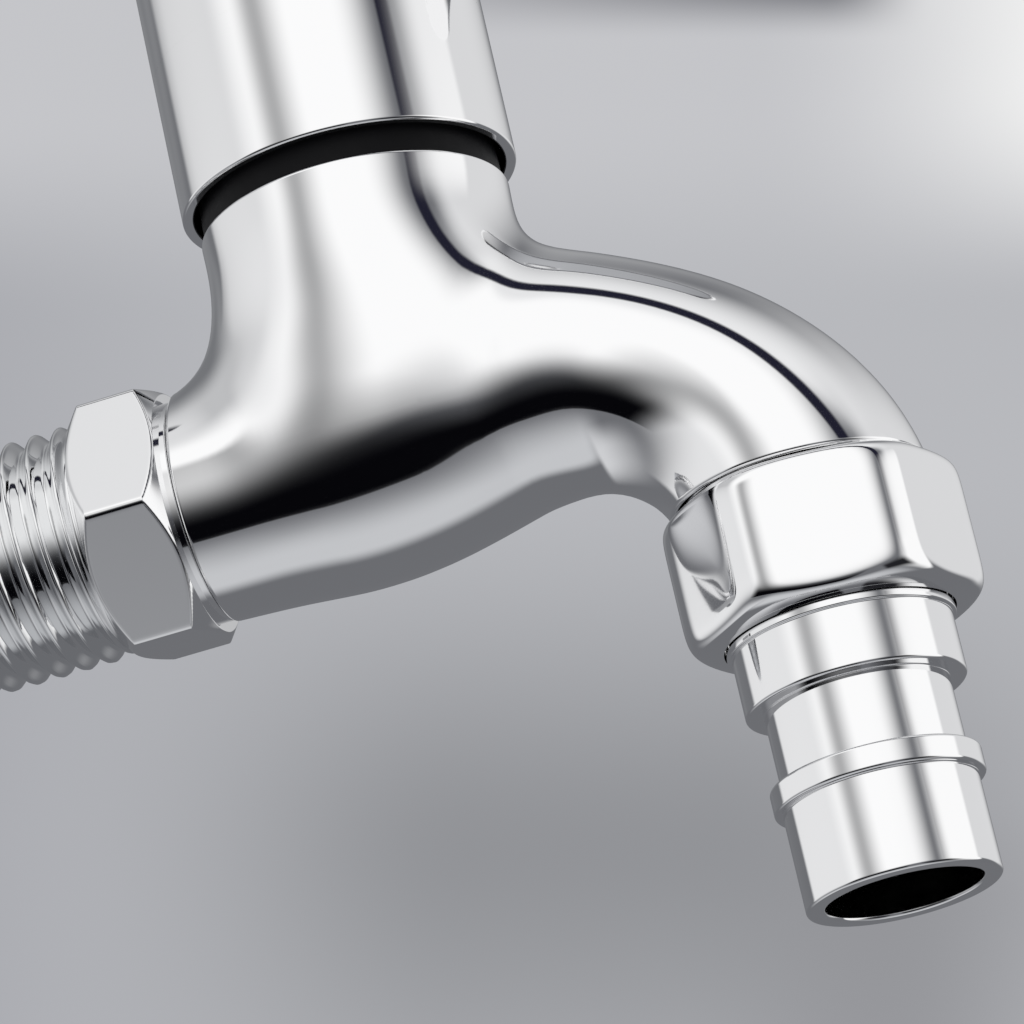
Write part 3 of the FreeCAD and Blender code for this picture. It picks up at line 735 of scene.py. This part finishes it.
# Hidden edges, each inside the piece that covers it
COVERED_R = 9.0
THREAD_COVERED_R = 9.7


def thread_skin(reach, sizes, centre, axis, segments=132, per_turn=13):
    """A thread's outside, from a chamfer at the free end to a run-out at the root."""
    pitch, depth = sizes.thread_pitch, sizes.thread_depth
    rows = int(reach / pitch * per_turn)
    along = np.linspace(-reach, 0.0, rows)[:, None]
    theta = ring_angles(segments)
    phase = TURN * (along / pitch - theta / TURN)
    wave = np.arcsin(THREAD_FLANK * np.cos(phase)) / math.asin(THREAD_FLANK)
    full = np.clip(-along / RUN_OUT, 0.0, 1.0)
    r = THREAD_R - depth / 2 * (1 - wave) * full - depth * RUN_OUT_DEPTH * (1 - full)
    r = soft_least(r, THREAD_R - THREAD_CHAMFER + along + reach, THREAD_SOFTNESS)
    return skin_of(turned(r, along, theta, axis) + np.array(centre))


class TAP_OT_inlet_nipple(bpy.types.Operator):
    """Build the threaded inlet nipple with its hexagon and collar"""
    bl_idname = "tap.inlet_nipple"
    bl_label = "Inlet nipple"

    def execute(self, context):
        sizes = context.scene.tap_nipple
        finish = context.scene.tap_finishes
        face = INLET_FLATS / 2 - INLET_FACE_INSET
        point = INLET_FLATS / math.sqrt(3)
        hex_corners = [
            (COVERED_R, 0.0, 0.05), (face, 0.0, 0.15),
            (point, WALL_CHAMFER, 0.2), (point, INLET_HEX_LENGTH - BODY_CHAMFER, 0.2),
            (face, INLET_HEX_LENGTH, 0.15), (COVERED_R, INLET_HEX_LENGTH, 0.05)]
        profile = dense(rounded_profile(hex_corners, closed=False)[0], 0.2)
        hexagon = hexagonal(
            profile, 420, INLET_FLATS, INLET_HEX_CORNER_R, INLET_HEX_TURN, sizes.crease)
        collar_start_x = INLET_HEX_LENGTH - INLET_FACE_INSET
        collar_corners = [
            (COVERED_R, collar_start_x, 0.05), (COLLAR_R, collar_start_x, 0.05),
            (COLLAR_R, BODY_START_X, 0.12), (SPIGOT_R, BODY_START_X, 0.1),
            (SPIGOT_R, SPIGOT_END_X, 0.2), (WATERWAY_R, SPIGOT_END_X, 0.1)]
        collar = lathe(collar_corners, 128, 0, "X")
        bore_corners = [
            (WATERWAY_R, SPIGOT_END_X, 0.1), (WATERWAY_R, 1.0, 0.5), (INLET_BORE_R, -1.0, 0.5),
            (INLET_BORE_R, THREAD_END_X, 0.25), (THREAD_COVERED_R, THREAD_END_X, 0.1)]
        bore = lathe(bore_corners, 96, 0, "X")
        smooth = best_chrome("nipple_chrome", finish, 1.2, 2.0)
        piece_from("inlet_hexagon", *joined(hexagon, collar, bore),
                   "tap_body", "nipple_chrome", smooth, "inlet_nipple")
        thread = thread_skin(-THREAD_END_X, sizes, (0, 0, 0), "X")
        grey = chrome("thread_chrome", finish.thread_chrome, 0.035, 0.06, 60.0)
        piece_from("inlet_thread", *thread, "tap_body", "nipple_chrome", grey)
        return {"FINISHED"}


NUT_TOP_Z = -13.53
NUT_BOTTOM_Z = -26.45
NUT_FLATS = 23.6
NUT_TURN = math.radians(9.5)
NUT_REACH = 13.12
NUT_BORE_R = 10.53
NUT_EXIT_R = 9.93
NUT_LEDGE_Z = -23.3
# The nut's rows run up its side from one slant to the other, and crowd where it bends most
NUT_SLANT = 1.04 * math.pi / 4
NUT_CROWDING = 0.6


def power_mean(a, b, exponent):
    return (a ** exponent + b ** exponent) ** (1 / exponent)


def nut_measure(across, along, theta, sizes):
    """How far out of the nut's centre a point lies: 1 on its skin, for a pillow-sided hexagon.
    Across is the distance from the axis and along is -1 at the foot and 1 at the top."""
    crown = sizes.side_crown
    facing = theta - NUT_TURN - math.pi / 6
    spread = sum(np.abs(np.cos(facing - math.pi / 3 * k)) ** crown for k in range(3))
    flat = NUT_FLATS / 2 * ((1 + 2 * 0.5 ** crown) / spread) ** (1 / crown)
    up = np.abs(along)
    sides = power_mean(across / flat, up, sizes.end_crown)
    corners = power_mean(across / NUT_REACH, up, np.where(along > 0, sizes.top_round, sizes.foot_round))
    return power_mean(sides, corners, sizes.edge_crown)


def nut_end(first, hole_r, side, theta, sizes, rows=12, halvings=30):
    """Rows over the nut's top or foot, from the last row of its side in to its hole."""
    found = []
    for k in range(1, rows + 1):
        r = first + (hole_r - first) * k / rows
        low, high = np.full_like(r, 0.5), np.full_like(r, 1.2)
        for _ in range(halvings):
            try_at = (low + high) / 2
            inside = nut_measure(r, side * try_at, theta, sizes) < 1
            low, high = np.where(inside, try_at, low), np.where(inside, high, try_at)
        found.append(np.stack([r, side * low], -1))
    return np.stack(found)


def nut_grid(sizes, segments=360, rows=121):
    """The outside of the nut, row by row from the hole at its foot to the hole at its top."""
    theta = ring_angles(segments)
    turn = np.linspace(-1, 1, rows)[:, None]
    slant = NUT_SLANT * (turn - NUT_CROWDING * np.sin(TURN * turn) / TURN)
    across, along = NUT_FLATS / 2 * np.cos(slant), np.sin(slant)
    measure = nut_measure(across, along, theta, sizes)
    side = np.stack([across / measure, along / measure], -1)
    foot = nut_end(side[0, :, 0], NUT_EXIT_R, -1, theta, sizes)
    top = nut_end(side[-1, :, 0], NUT_BORE_R, 1, theta, sizes)
    grid = np.concatenate([foot[::-1], side, top])
    middle, half = (NUT_TOP_Z + NUT_BOTTOM_Z) / 2, (NUT_TOP_Z - NUT_BOTTOM_Z) / 2
    return turned(grid[..., 0], middle + half * grid[..., 1], theta, "Z") + (OUTLET_X, 0, 0)


class TAP_OT_union_nut(bpy.types.Operator):
    """Build the softly rounded union nut"""
    bl_idname = "tap.union_nut"
    bl_label = "Union nut"

    def execute(self, context):
        sizes = context.scene.tap_nut
        finish = context.scene.tap_finishes
        grid = nut_grid(sizes)
        top_z, foot_z = grid[-1, :, 2].mean(), grid[0, :, 2].mean()
        hole_corners = [
            (NUT_BORE_R, top_z, 0.01), (NUT_BORE_R, NUT_LEDGE_Z, 0.1),
            (NUT_EXIT_R, NUT_LEDGE_Z, 0.1), (NUT_EXIT_R, foot_z, 0.01)]
        hole = lathe(hole_corners, grid.shape[1], OUTLET_X)
        material = best_chrome("nut_chrome", finish)
        piece_from("union_nut", *joined(skin_of(grid), hole),
                   "nut", "nut_chrome", material, "outlet_nut")
        return {"FINISHED"}


NOZZLE_BORE_R = 6.64
NOZZLE_END_Z = -49.39
TIP_R = 8.28
RIB_R = 8.95
RIB_FOOT_Z = -40.8
RIB_TOP_Z = -38.6
GROOVE_R = 7.9
STEP_R = 9.42
STEP_FOOT_Z = -32.2
LIP_R = 9.78
LIP_FOOT_Z = -26.9
LIP_TOP_Z = -26.2
NOZZLE_NECK_R = 9.1
FLANGE_R = 10.35
FLANGE_FOOT_Z = -23.2
FLANGE_TOP_Z = -21.3
THREAD_ROOT_Z = SHOULDER_Z + 0.3


class TAP_OT_hose_nozzle(bpy.types.Operator):
    """Build the stepped hose nozzle and the outlet's threaded end"""
    bl_idname = "tap.hose_nozzle"
    bl_label = "Hose nozzle"

    def execute(self, context):
        sizes = context.scene.tap_nozzle
        finish = context.scene.tap_finishes
        corners = [
            (NOZZLE_BORE_R, NOZZLE_END_Z, 0.35), (TIP_R, NOZZLE_END_Z, 0.35),
            (TIP_R, RIB_FOOT_Z, 0.12), (RIB_R, RIB_FOOT_Z, 0.3),
            (RIB_R, RIB_TOP_Z, 0.3), (GROOVE_R, RIB_TOP_Z, 0.12),
            (GROOVE_R, STEP_FOOT_Z, 0.12), (STEP_R, STEP_FOOT_Z, 0.3),
            (STEP_R, LIP_FOOT_Z, 0.1), (LIP_R, LIP_FOOT_Z, 0.15),
            (LIP_R, LIP_TOP_Z, 0.1), (NOZZLE_NECK_R, LIP_TOP_Z, 0.1),
            (NOZZLE_NECK_R, FLANGE_FOOT_Z, 0.15), (FLANGE_R, FLANGE_FOOT_Z, 0.2),
            (FLANGE_R, FLANGE_TOP_Z, 0.2), (NOZZLE_BORE_R, FLANGE_TOP_Z, 0.2)]
        nozzle = lathe(corners, 160, OUTLET_X, closed=True)
        material = best_chrome("nozzle_chrome", finish)
        piece_from("stepped_nozzle", *nozzle, "nozzle", "nozzle_chrome", material, "hose_nozzle")
        end_corners = [
            (COVERED_R, THREAD_ROOT_Z, 0.05), (NOZZLE_BORE_R, THREAD_ROOT_Z, 0.3),
            (NOZZLE_BORE_R, OUTLET_END_Z, 0.2), (THREAD_COVERED_R, OUTLET_END_Z, 0.1)]
        end = lathe(end_corners, 128, OUTLET_X)
        thread = thread_skin(
            THREAD_ROOT_Z - OUTLET_END_Z, sizes, (OUTLET_X, 0, THREAD_ROOT_Z), "Z")
        dull = chrome("outlet_thread_chrome", finish.thread_chrome, 0.08, 0.16, 60.0)
        piece_from("outlet_thread", *joined(end, thread), "tap_body", "cast_chrome", dull)
        return {"FINISHED"}


# How round the handle's edges start: 2 is an arc, more starts without a kink
EDGE_EXPONENT = 2.6
HUB_R = 14.87
HUB_TOP_Z = 52.0
HUB_EDGE = 3.2
SKIRT_INSIDE_R = 13.82
SKIRT_CEILING_Z = 37.6
HUB_BORE_R = 6.7
RIM_Z = 24.45
CAP_R = 6.0
CAP_FOOT_Z = 50.0
CAP_TOP_Z = 52.5
CAP_MIDDLE_R = 0.02
SKIRT_SPLIT_Z = 38.0
LEVER_ROOT = (4.5, 8.4)
LEVER_TIP = (40.8, 6.2)
LEVER_THICKNESS = 6.2
LEVER_EDGE = 2.4
LEVER_ROOT_Z = 43.4
LEVER_CLIMB = math.radians(5.0)
# Rings up the shell that the hub's skin is made from, the last one smaller for the top edge
HUB_BLANK = (
    (SKIRT_SPLIT_Z - 4, HUB_R, HUB_R), (HUB_TOP_Z - 3, HUB_R, HUB_R),
    (HUB_TOP_Z - 0.5, HUB_R - 1, HUB_R - 1))


def rounded_edge(side, end, edge):
    """Distance from a form whose side and end meet in a soft edge that starts without a kink.
    Side and end are measured from where the edge's rounding begins."""
    outside = power_mean(np.maximum(side, 0), np.maximum(end, 0), EDGE_EXPONENT)
    return outside + np.minimum(np.maximum(side, end), 0) - edge


def hub_field(points):
    """How far a point lies outside the handle's hub, a tall round cap with a rounded top edge."""
    r = np.hypot(points[:, 0] - NECK_X, points[:, 1])
    return rounded_edge(r - HUB_R + HUB_EDGE, points[:, 2] - HUB_TOP_Z + HUB_EDGE, HUB_EDGE)


def lever_field(points):
    """How far a point lies outside the lever, a tapered bar with a round tip."""
    dx, dz = points[:, 0] - NECK_X, points[:, 2] - LEVER_ROOT_Z
    x = dx * math.cos(LEVER_CLIMB) + dz * math.sin(LEVER_CLIMB)
    z = dz * math.cos(LEVER_CLIMB) - dx * math.sin(LEVER_CLIMB) - LEVER_THICKNESS / 2
    y = np.abs(points[:, 1])
    run = LEVER_TIP[0] - LEVER_ROOT[0]
    lean = (LEVER_ROOT[1] - LEVER_TIP[1]) / run
    fit = math.sqrt(1 - lean * lean)
    along = fit * (x - LEVER_ROOT[0]) - lean * y
    beside = fit * y + lean * (x - LEVER_ROOT[0]) - LEVER_ROOT[1]
    tip = np.hypot(x - LEVER_TIP[0], y) - LEVER_TIP[1]
    root = np.hypot(x - LEVER_ROOT[0], y) - LEVER_ROOT[1]
    outline = np.where(along < 0, root, np.where(along > fit * run, tip, beside))
    return rounded_edge(outline + LEVER_EDGE, np.abs(z) - LEVER_THICKNESS / 2 + LEVER_EDGE, LEVER_EDGE)


def lever_blank(steps=11):
    """Rings along the lever, the last one smaller for the round tip."""
    rings = []
    for k in range(steps + 1):
        x = LEVER_ROOT[0] + (LEVER_TIP[0] + 4.5 - LEVER_ROOT[0]) * k / steps
        slimmer = 2.5 if k == steps else 0.6
        half_width = LEVER_ROOT[1] + (LEVER_TIP[1] - LEVER_ROOT[1]) * k / steps - slimmer
        centre = (NECK_X + x, 0, LEVER_ROOT_Z + LEVER_THICKNESS / 2 + x * math.tan(LEVER_CLIMB))
        rings.append(ring_points(
            centre, (0, 1, 0), (0, 0, 1), half_width, LEVER_THICKNESS / 2, 32))
    return rings


class TAP_OT_handle(bpy.types.Operator):
    """Build the lever handle with its skirt and the blank cap on top"""
    bl_idname = "tap.handle"
    bl_label = "Lever handle"

    def execute(self, context):
        sizes = context.scene.tap_handle
        finish = context.scene.tap_finishes

        def field(points):
            return soft_least(hub_field(points), lever_field(points), sizes.blend)

        skin = skinned("handle", [level_rings(HUB_BLANK, 64), lever_blank()], sizes.cell)
        even_out(skin, field, rounds=16)
        bm = bmesh.new()
        bm.from_mesh(skin)
        trim(bm, field, (0, 0, SKIRT_SPLIT_Z), (0, 0, -1))
        material = best_chrome("handle_chrome", finish)
        finish_skin("lever_handle", bm, field, "handle_set", "handle_chrome", material, "handle")
        corners = [
            (HUB_BORE_R, SKIRT_CEILING_Z, 0.1), (SKIRT_INSIDE_R, SKIRT_CEILING_Z, 0.5),
            (SKIRT_INSIDE_R, RIM_Z, 0.3), (HUB_R, RIM_Z, 0.3), (HUB_R, SKIRT_SPLIT_Z, 0.1)]
        skirt = lathe(corners, 160, NECK_X)
        piece_from("handle_skirt", *skirt, "handle_set", "handle_chrome", material)
        cap_corners = [
            (CAP_MIDDLE_R, CAP_FOOT_Z, 0.001), (CAP_R, CAP_FOOT_Z, 0.1),
            (CAP_R, CAP_TOP_Z, 0.5), (CAP_MIDDLE_R, CAP_TOP_Z, 0.001)]
        cap = lathe(cap_corners, 96, NECK_X)
        piece_from("blank_cap", *cap, "handle_set", "handle_chrome", material, "index_button")
        return {"FINISHED"}


RING_INSIDE_R = 12.1
RING_R = 13.25
RING_TOP_Z = 27.25


class TAP_OT_skirt_ring(bpy.types.Operator):
    """Build the black ring between the neck and the handle"""
    bl_idname = "tap.skirt_ring"
    bl_label = "Skirt ring"

    def execute(self, context):
        finish = context.scene.tap_finishes
        corners = [
            (RING_INSIDE_R, NECK_TOP_Z, 0.1), (RING_R, NECK_TOP_Z, 0.1),
            (RING_R, RING_TOP_Z, 0.4), (RING_INSIDE_R, RING_TOP_Z, 0.1)]
        ring = lathe(corners, 128, NECK_X, closed=True)
        # The ring gets a dull near-black colour, so the band between the neck and the skirt shows dark
        material = plain("black_plastic", finish.plastic, 0.5, 0.0, 900.0, 0.04, 0.12)
        piece_from("black_ring", *ring, "tap_body", "black_plastic", material, "skirt_ring")
        return {"FINISHED"}


# Finish of each kind of inner part: colour, roughness, metallic, scale and strength of its
# grain, then its nodes
INNER_FINISHES = {
    "turned_brass": (
        (0.60, 0.42, 0.16), 0.22, 1.0, 500.0, 0.05, ("cartridge_housing", "stem")),
    "lapped_ceramic": (
        (0.80, 0.79, 0.75), 0.18, 0.0, 300.0, 0.02, ("fixed_disc", "moving_disc")),
    "seal_rubber": (
        (0.02, 0.02, 0.02), 0.6, 0.0, 700.0, 0.15,
        ("nipple_o_ring", "bonnet_washer", "seat_seal", "stem_o_rings", "nozzle_washer")),
    "white_plastic": (
        (0.72, 0.72, 0.69), 0.4, 0.0, 500.0, 0.05, ("thrust_washer", "spline_insert")),
    "plain_steel": (
        (0.56, 0.56, 0.57), 0.25, 1.0, 600.0, 0.05,
        ("seal_support_ring", "stop_plate", "circlip", "handle_screw")),
}


class TAP_OT_inner_parts(bpy.types.Operator):
    """Give the cartridge and the seals their finishes"""
    bl_idname = "tap.inner_parts"
    bl_label = "Inner parts"

    def execute(self, context):
        for name, (*look, nodes) in INNER_FINISHES.items():
            material = plain(name, *look)
            for node in nodes:
                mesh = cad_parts[node].data
                mesh.materials.clear()
                mesh.materials.append(material)
        return {"FINISHED"}


# The camera of the photo: its place in millimetres, where it lies as seen from what it looks
# at (bearing from +X towards +Y, height and roll in degrees), and focal length in pixels
CAMERA_PLACE = (113.23, -418.24, -154.64)
CAMERA_SIDE = (-79.414, -19.015, -12.763)
CAMERA_FOCAL = 5286.105
FRAME_SIZE = 1024
SENSOR = 36.0
FLOOR_Z = -0.22

# What the chrome mirrors. Each card is a soft-edged panel far away: bearing of its centre
# from +X towards +Y, height above the horizon, roll, half width, half height, then how softly
# it fades on its left, right, lower and upper side, all in degrees, and last its colour.
# A later card lies over the earlier ones.
STUDIO_CARDS = (
    ("left_softbox", -156.9, 14.0, -3.2, 48.3, 23.6, 15.2, 38.3, 41.6, 42.0, (0.85, 0.853, 0.86)),
    ("left_ceiling", -190.9, 63.1, 13.3, 51.3, 29.2, 41.3, 32.3, 12.9, 41.9, (0.56, 0.565, 0.575)),
    ("left_shade", -229.2, 40.6, 55.6, 26.6, 21.6, 37.0, 39.4, 28.1, 31.5, (0.188, 0.193, 0.205)),
    ("right_softbox", 35.7, 24.7, -24.2, 42.5, 25.1, 29.2, 38.5, 22.3, 41.7, (0.745, 0.748, 0.757)),
    ("main_softbox", -92.7, 25.4, 19.3, 41.4, 34.2, 37.4, 41.5, 41.8, 26.8, (1.07, 1.07, 1.07)),
    ("right_ceiling", -43.7, 70.9, -34.8, 35.9, 17.9, 41.0, 42.0, 20.4, 42.0, (0.895, 0.898, 0.905)),
    ("middle_post", -116.8, -2.0, -0.6, 7.7, 31.2, 22.7, 30.0, 3.3, 10.6, (0.26, 0.262, 0.268)),
    ("dark_seam", -39.9, 46.8, 25.0, 4.5, 53.8, 2.3, 3.4, 4.0, 7.6, (0.016, 0.016, 0.03)),
    ("dark_table", -111.0, -27.4, -27.0, 35.1, 18.5, 23.1, 6.0, 1.1, 39.1, (0.002, 0.002, 0.003)),
    ("low_softbox", -2.0, -8.6, 6.7, 25.2, 33.2, 27.5, 7.0, 41.9, 21.4, (1.06, 1.06, 1.06)),
    ("dark_corner", -27.6, -31.0, 38.5, 18.0, 21.3, 6.0, 18.9, 27.4, 24.3, (0.017, 0.017, 0.02)),
    ("pale_floor", -163.8, -85.9, -84.5, 32.1, 21.7, 28.4, 41.9, 18.0, 41.9, (0.60, 0.61, 0.63)),
    ("left_floor", -193.9, -40.2, -29.6, 24.5, 11.6, 37.6, 32.4, 6.0, 37.4, (0.675, 0.682, 0.70)),
)
# What the camera sees behind the tap: panels square to the view, centre and half size as
# shares of half the frame, then the fades
BACKDROP_CARDS = (
    ("left_fall", -1.362, 0.0, 0.53, 2.0, 0.6, 1.26, 1.0, 1.0, (0.387, 0.393, 0.423)),
    ("top_glow", 0.1, 1.255, 1.6, 0.682, 0.8, 1.4, 0.413, 0.5, (0.557, 0.561, 0.585)),
    ("corner_glow", 1.291, 0.947, 0.377, 0.322, 0.932, 0.8, 0.437, 0.5, (1.0, 1.0, 0.99)),
    ("top_shelf", 0.43, 1.134, 0.283, 0.158, 1.894, 0.221, 0.116, 0.05, (0.096, 0.099, 0.119)),
    ("low_shade", 0.236, -0.716, 0.758, 0.411, 0.883, 1.265, 1.25, 0.852, (0.276, 0.281, 0.299)),
    ("corner_shade", 0.744, -0.942, 0.174, 0.282, 0.562, 0.749, 0.408, 0.255, (0.286, 0.288, 0.307)),
)
# What lights everything that isn't a mirror
EVEN_LIGHT = (0.85, 0.85, 0.86, 1.0)
# The least cosine to its centre at which a panel is seen
AHEAD = 0.001
FLOOR_R = 3.0
FLOOR_COLOUR = (0.62, 0.625, 0.64)


class Sky:
    """Builds the world's nodes: panels of light seen in a direction."""

    def __init__(self, tree):
        self.tree = tree
        self.direction = add_node(tree, "ShaderNodeTexCoord", "Generated", {})

    def math(self, operation, *values):
        return add_node(
            self.tree, "ShaderNodeMath", "Value", dict(enumerate(values)), operation=operation)

    def along(self, axis):
        return add_node(
            self.tree, "ShaderNodeVectorMath", "Value", {0: self.direction, 1: axis},
            operation="DOT_PRODUCT")

    def step(self, value, low, high):
        return add_node(
            self.tree, "ShaderNodeMapRange", "Result",
            {"Value": value, "From Min": low, "From Max": high}, interpolation_type="SMOOTHSTEP")

    def panel(self, name, below, axes, place, half, fades, tone):
        """Lays a soft-edged panel over what is below. Places and sizes are tangents."""
        towards, across, upward = axes
        ahead = self.along(towards)
        clear = self.math("MAXIMUM", ahead, AHEAD)
        x = self.math("DIVIDE", self.along(across), clear)
        y = self.math("DIVIDE", self.along(upward), clear)
        mask = self.math("GREATER_THAN", ahead, AHEAD)
        for value, middle, size, low_fade, high_fade in (
                (x, place[0], half[0], *fades[:2]), (y, place[1], half[1], *fades[2:])):
            low, high = middle - size, middle + size
            rise = self.step(value, low - low_fade / 2, low + low_fade / 2)
            fall = self.step(value, high + high_fade / 2, high - high_fade / 2)
            mask = self.math("MULTIPLY", mask, self.math("MULTIPLY", rise, fall))
        return add_node(
            self.tree, "ShaderNodeMix", "Result",
            {"Factor": mask, "A": below, "B": (*tone, 1.0)}, data_type="RGBA", label=name)


def axes_towards(bearing, height, roll):
    """Towards something far from the tap, and across and up it, from angles in degrees."""
    a, e, r = math.radians(bearing), math.radians(height), math.radians(roll)
    towards = Vector((math.cos(e) * math.cos(a), math.cos(e) * math.sin(a), math.sin(e)))
    level = Vector((-math.sin(a), math.cos(a), 0))
    upward = towards.cross(level)
    if upward.z < 0:
        upward = -upward
    cos, sin = math.cos(r), math.sin(r)
    return towards, level * cos + upward * sin, upward * cos - level * sin


class TAP_OT_studio(bpy.types.Operator):
    """Set up the camera, the floor, the backdrop and the lights"""
    bl_idname = "tap.studio"
    bl_label = "Studio"

    def execute(self, context):
        studio = context.scene.tap_studio
        self.add_camera(context)
        self.add_air(context, studio)
        self.add_floor(context)
        context.scene.view_settings.view_transform = "Standard"
        return {"FINISHED"}

    def add_camera(self, context):
        back, right, up = axes_towards(*CAMERA_SIDE)
        camera = bpy.data.cameras.new("camera")
        camera.sensor_width = SENSOR
        camera.lens = CAMERA_FOCAL * SENSOR / FRAME_SIZE
        camera.clip_start = 0.01
        camera.clip_end = 50.0
        holder = bpy.data.objects.new("camera", camera)
        holder.matrix_world = Matrix((right, up, back)).transposed().to_4x4()
        holder.location = Vector(CAMERA_PLACE) * MM
        context.scene.collection.objects.link(holder)
        context.scene.camera = holder

    def add_air(self, context, studio):
        """The chrome mirrors the cards, the camera sees the backdrop, all else gets even light."""
        world = bpy.data.worlds.new("studio_air")
        context.scene.world = world
        world.use_nodes = True
        tree = world.node_tree
        sky = Sky(tree)
        mirrored = (*studio.surround, 1.0)
        for name, bearing, height, roll, *spans, tone in STUDIO_CARDS:
            spans = [math.tan(math.radians(v)) for v in spans]
            tone = [v * studio.softbox for v in tone]
            axes = axes_towards(bearing, height, roll)
            mirrored = sky.panel(name, mirrored, axes, (0, 0), spans[:2], spans[2:], tone)
        back, right, up = axes_towards(*CAMERA_SIDE)
        reach = FRAME_SIZE / 2 / CAMERA_FOCAL
        backdrop = (*studio.backdrop, 1.0)
        for name, *spans, tone in BACKDROP_CARDS:
            spans = [v * reach for v in spans]
            backdrop = sky.panel(
                name, backdrop, (-back, right, up), spans[:2], spans[2:4], spans[4:], tone)
        path = tree.nodes.new("ShaderNodeLightPath")
        seen = self.choose(tree, path.outputs["Is Camera Ray"], mirrored, backdrop)
        lit = self.choose(tree, path.outputs["Is Diffuse Ray"], seen, EVEN_LIGHT)
        tree.links.new(lit, tree.nodes["World Output"].inputs["Surface"])
        world.cycles.sampling_method = "NONE"

    def choose(self, tree, chooser, *colours):
        """Mixes two backgrounds: the first where the chooser is 0, the second where it is 1."""
        inputs = {"Fac": chooser}
        for k, value in enumerate(colours):
            if not isinstance(value, bpy.types.NodeSocketShader):
                value = add_node(tree, "ShaderNodeBackground", "Background", {"Color": value})
            inputs[k + 1] = value
        return add_node(tree, "ShaderNodeMixShader", "Shader", inputs)

    def add_floor(self, context):
        mesh = bpy.data.meshes.new("floor")
        bm = bmesh.new()
        bmesh.ops.create_circle(bm, cap_ends=True, segments=96, radius=FLOOR_R)
        bm.to_mesh(mesh)
        bm.free()
        floor = bpy.data.objects.new("floor", mesh)
        floor.location = (0, 0, FLOOR_Z)
        floor.visible_glossy = False
        material, shader = new_material("pale_floor", FLOOR_COLOUR, 0.6, 0.0)
        vary_roughness(shader, 0.55, 0.65, 6.0)
        mesh.materials.append(material)
        context.scene.collection.objects.link(floor)


class TAP_PT_panel(bpy.types.Panel):
    """Lists the sizes and the build steps of the tap"""
    bl_idname = "TAP_PT_panel"
    bl_label = "Washing machine tap"
    bl_space_type = "VIEW_3D"
    bl_region_type = "UI"
    bl_category = "Tap"

    def draw(self, context):
        for operator in BUILD_STEPS:
            self.layout.operator(operator.bl_idname)
        for attribute, group in SETTINGS:
            box = self.layout.box()
            for name in group.__annotations__:
                box.prop(getattr(context.scene, attribute), name)


BUILD_STEPS = (
    TAP_OT_casting,
    TAP_OT_inlet_nipple,
    TAP_OT_skirt_ring,
    TAP_OT_handle,
    TAP_OT_union_nut,
    TAP_OT_hose_nozzle,
    TAP_OT_inner_parts,
    TAP_OT_studio,
)


def register():
    for attribute, group in SETTINGS:
        bpy.utils.register_class(group)
        setattr(bpy.types.Scene, attribute, bpy.props.PointerProperty(type=group))
    for operator in BUILD_STEPS:
        bpy.utils.register_class(operator)
    bpy.utils.register_class(TAP_PT_panel)


def unregister():
    bpy.utils.unregister_class(TAP_PT_panel)
    for operator in reversed(BUILD_STEPS):
        bpy.utils.unregister_class(operator)
    for attribute, group in reversed(SETTINGS):
        delattr(bpy.types.Scene, attribute)
        bpy.utils.unregister_class(group)


def main():
    register()
    for operator in BUILD_STEPS:
        family, step = operator.bl_idname.split(".")
        if getattr(getattr(bpy.ops, family), step)() != {"FINISHED"}:
            raise RuntimeError(operator.bl_label + " did not finish")


if __name__ == "__main__":
    main()
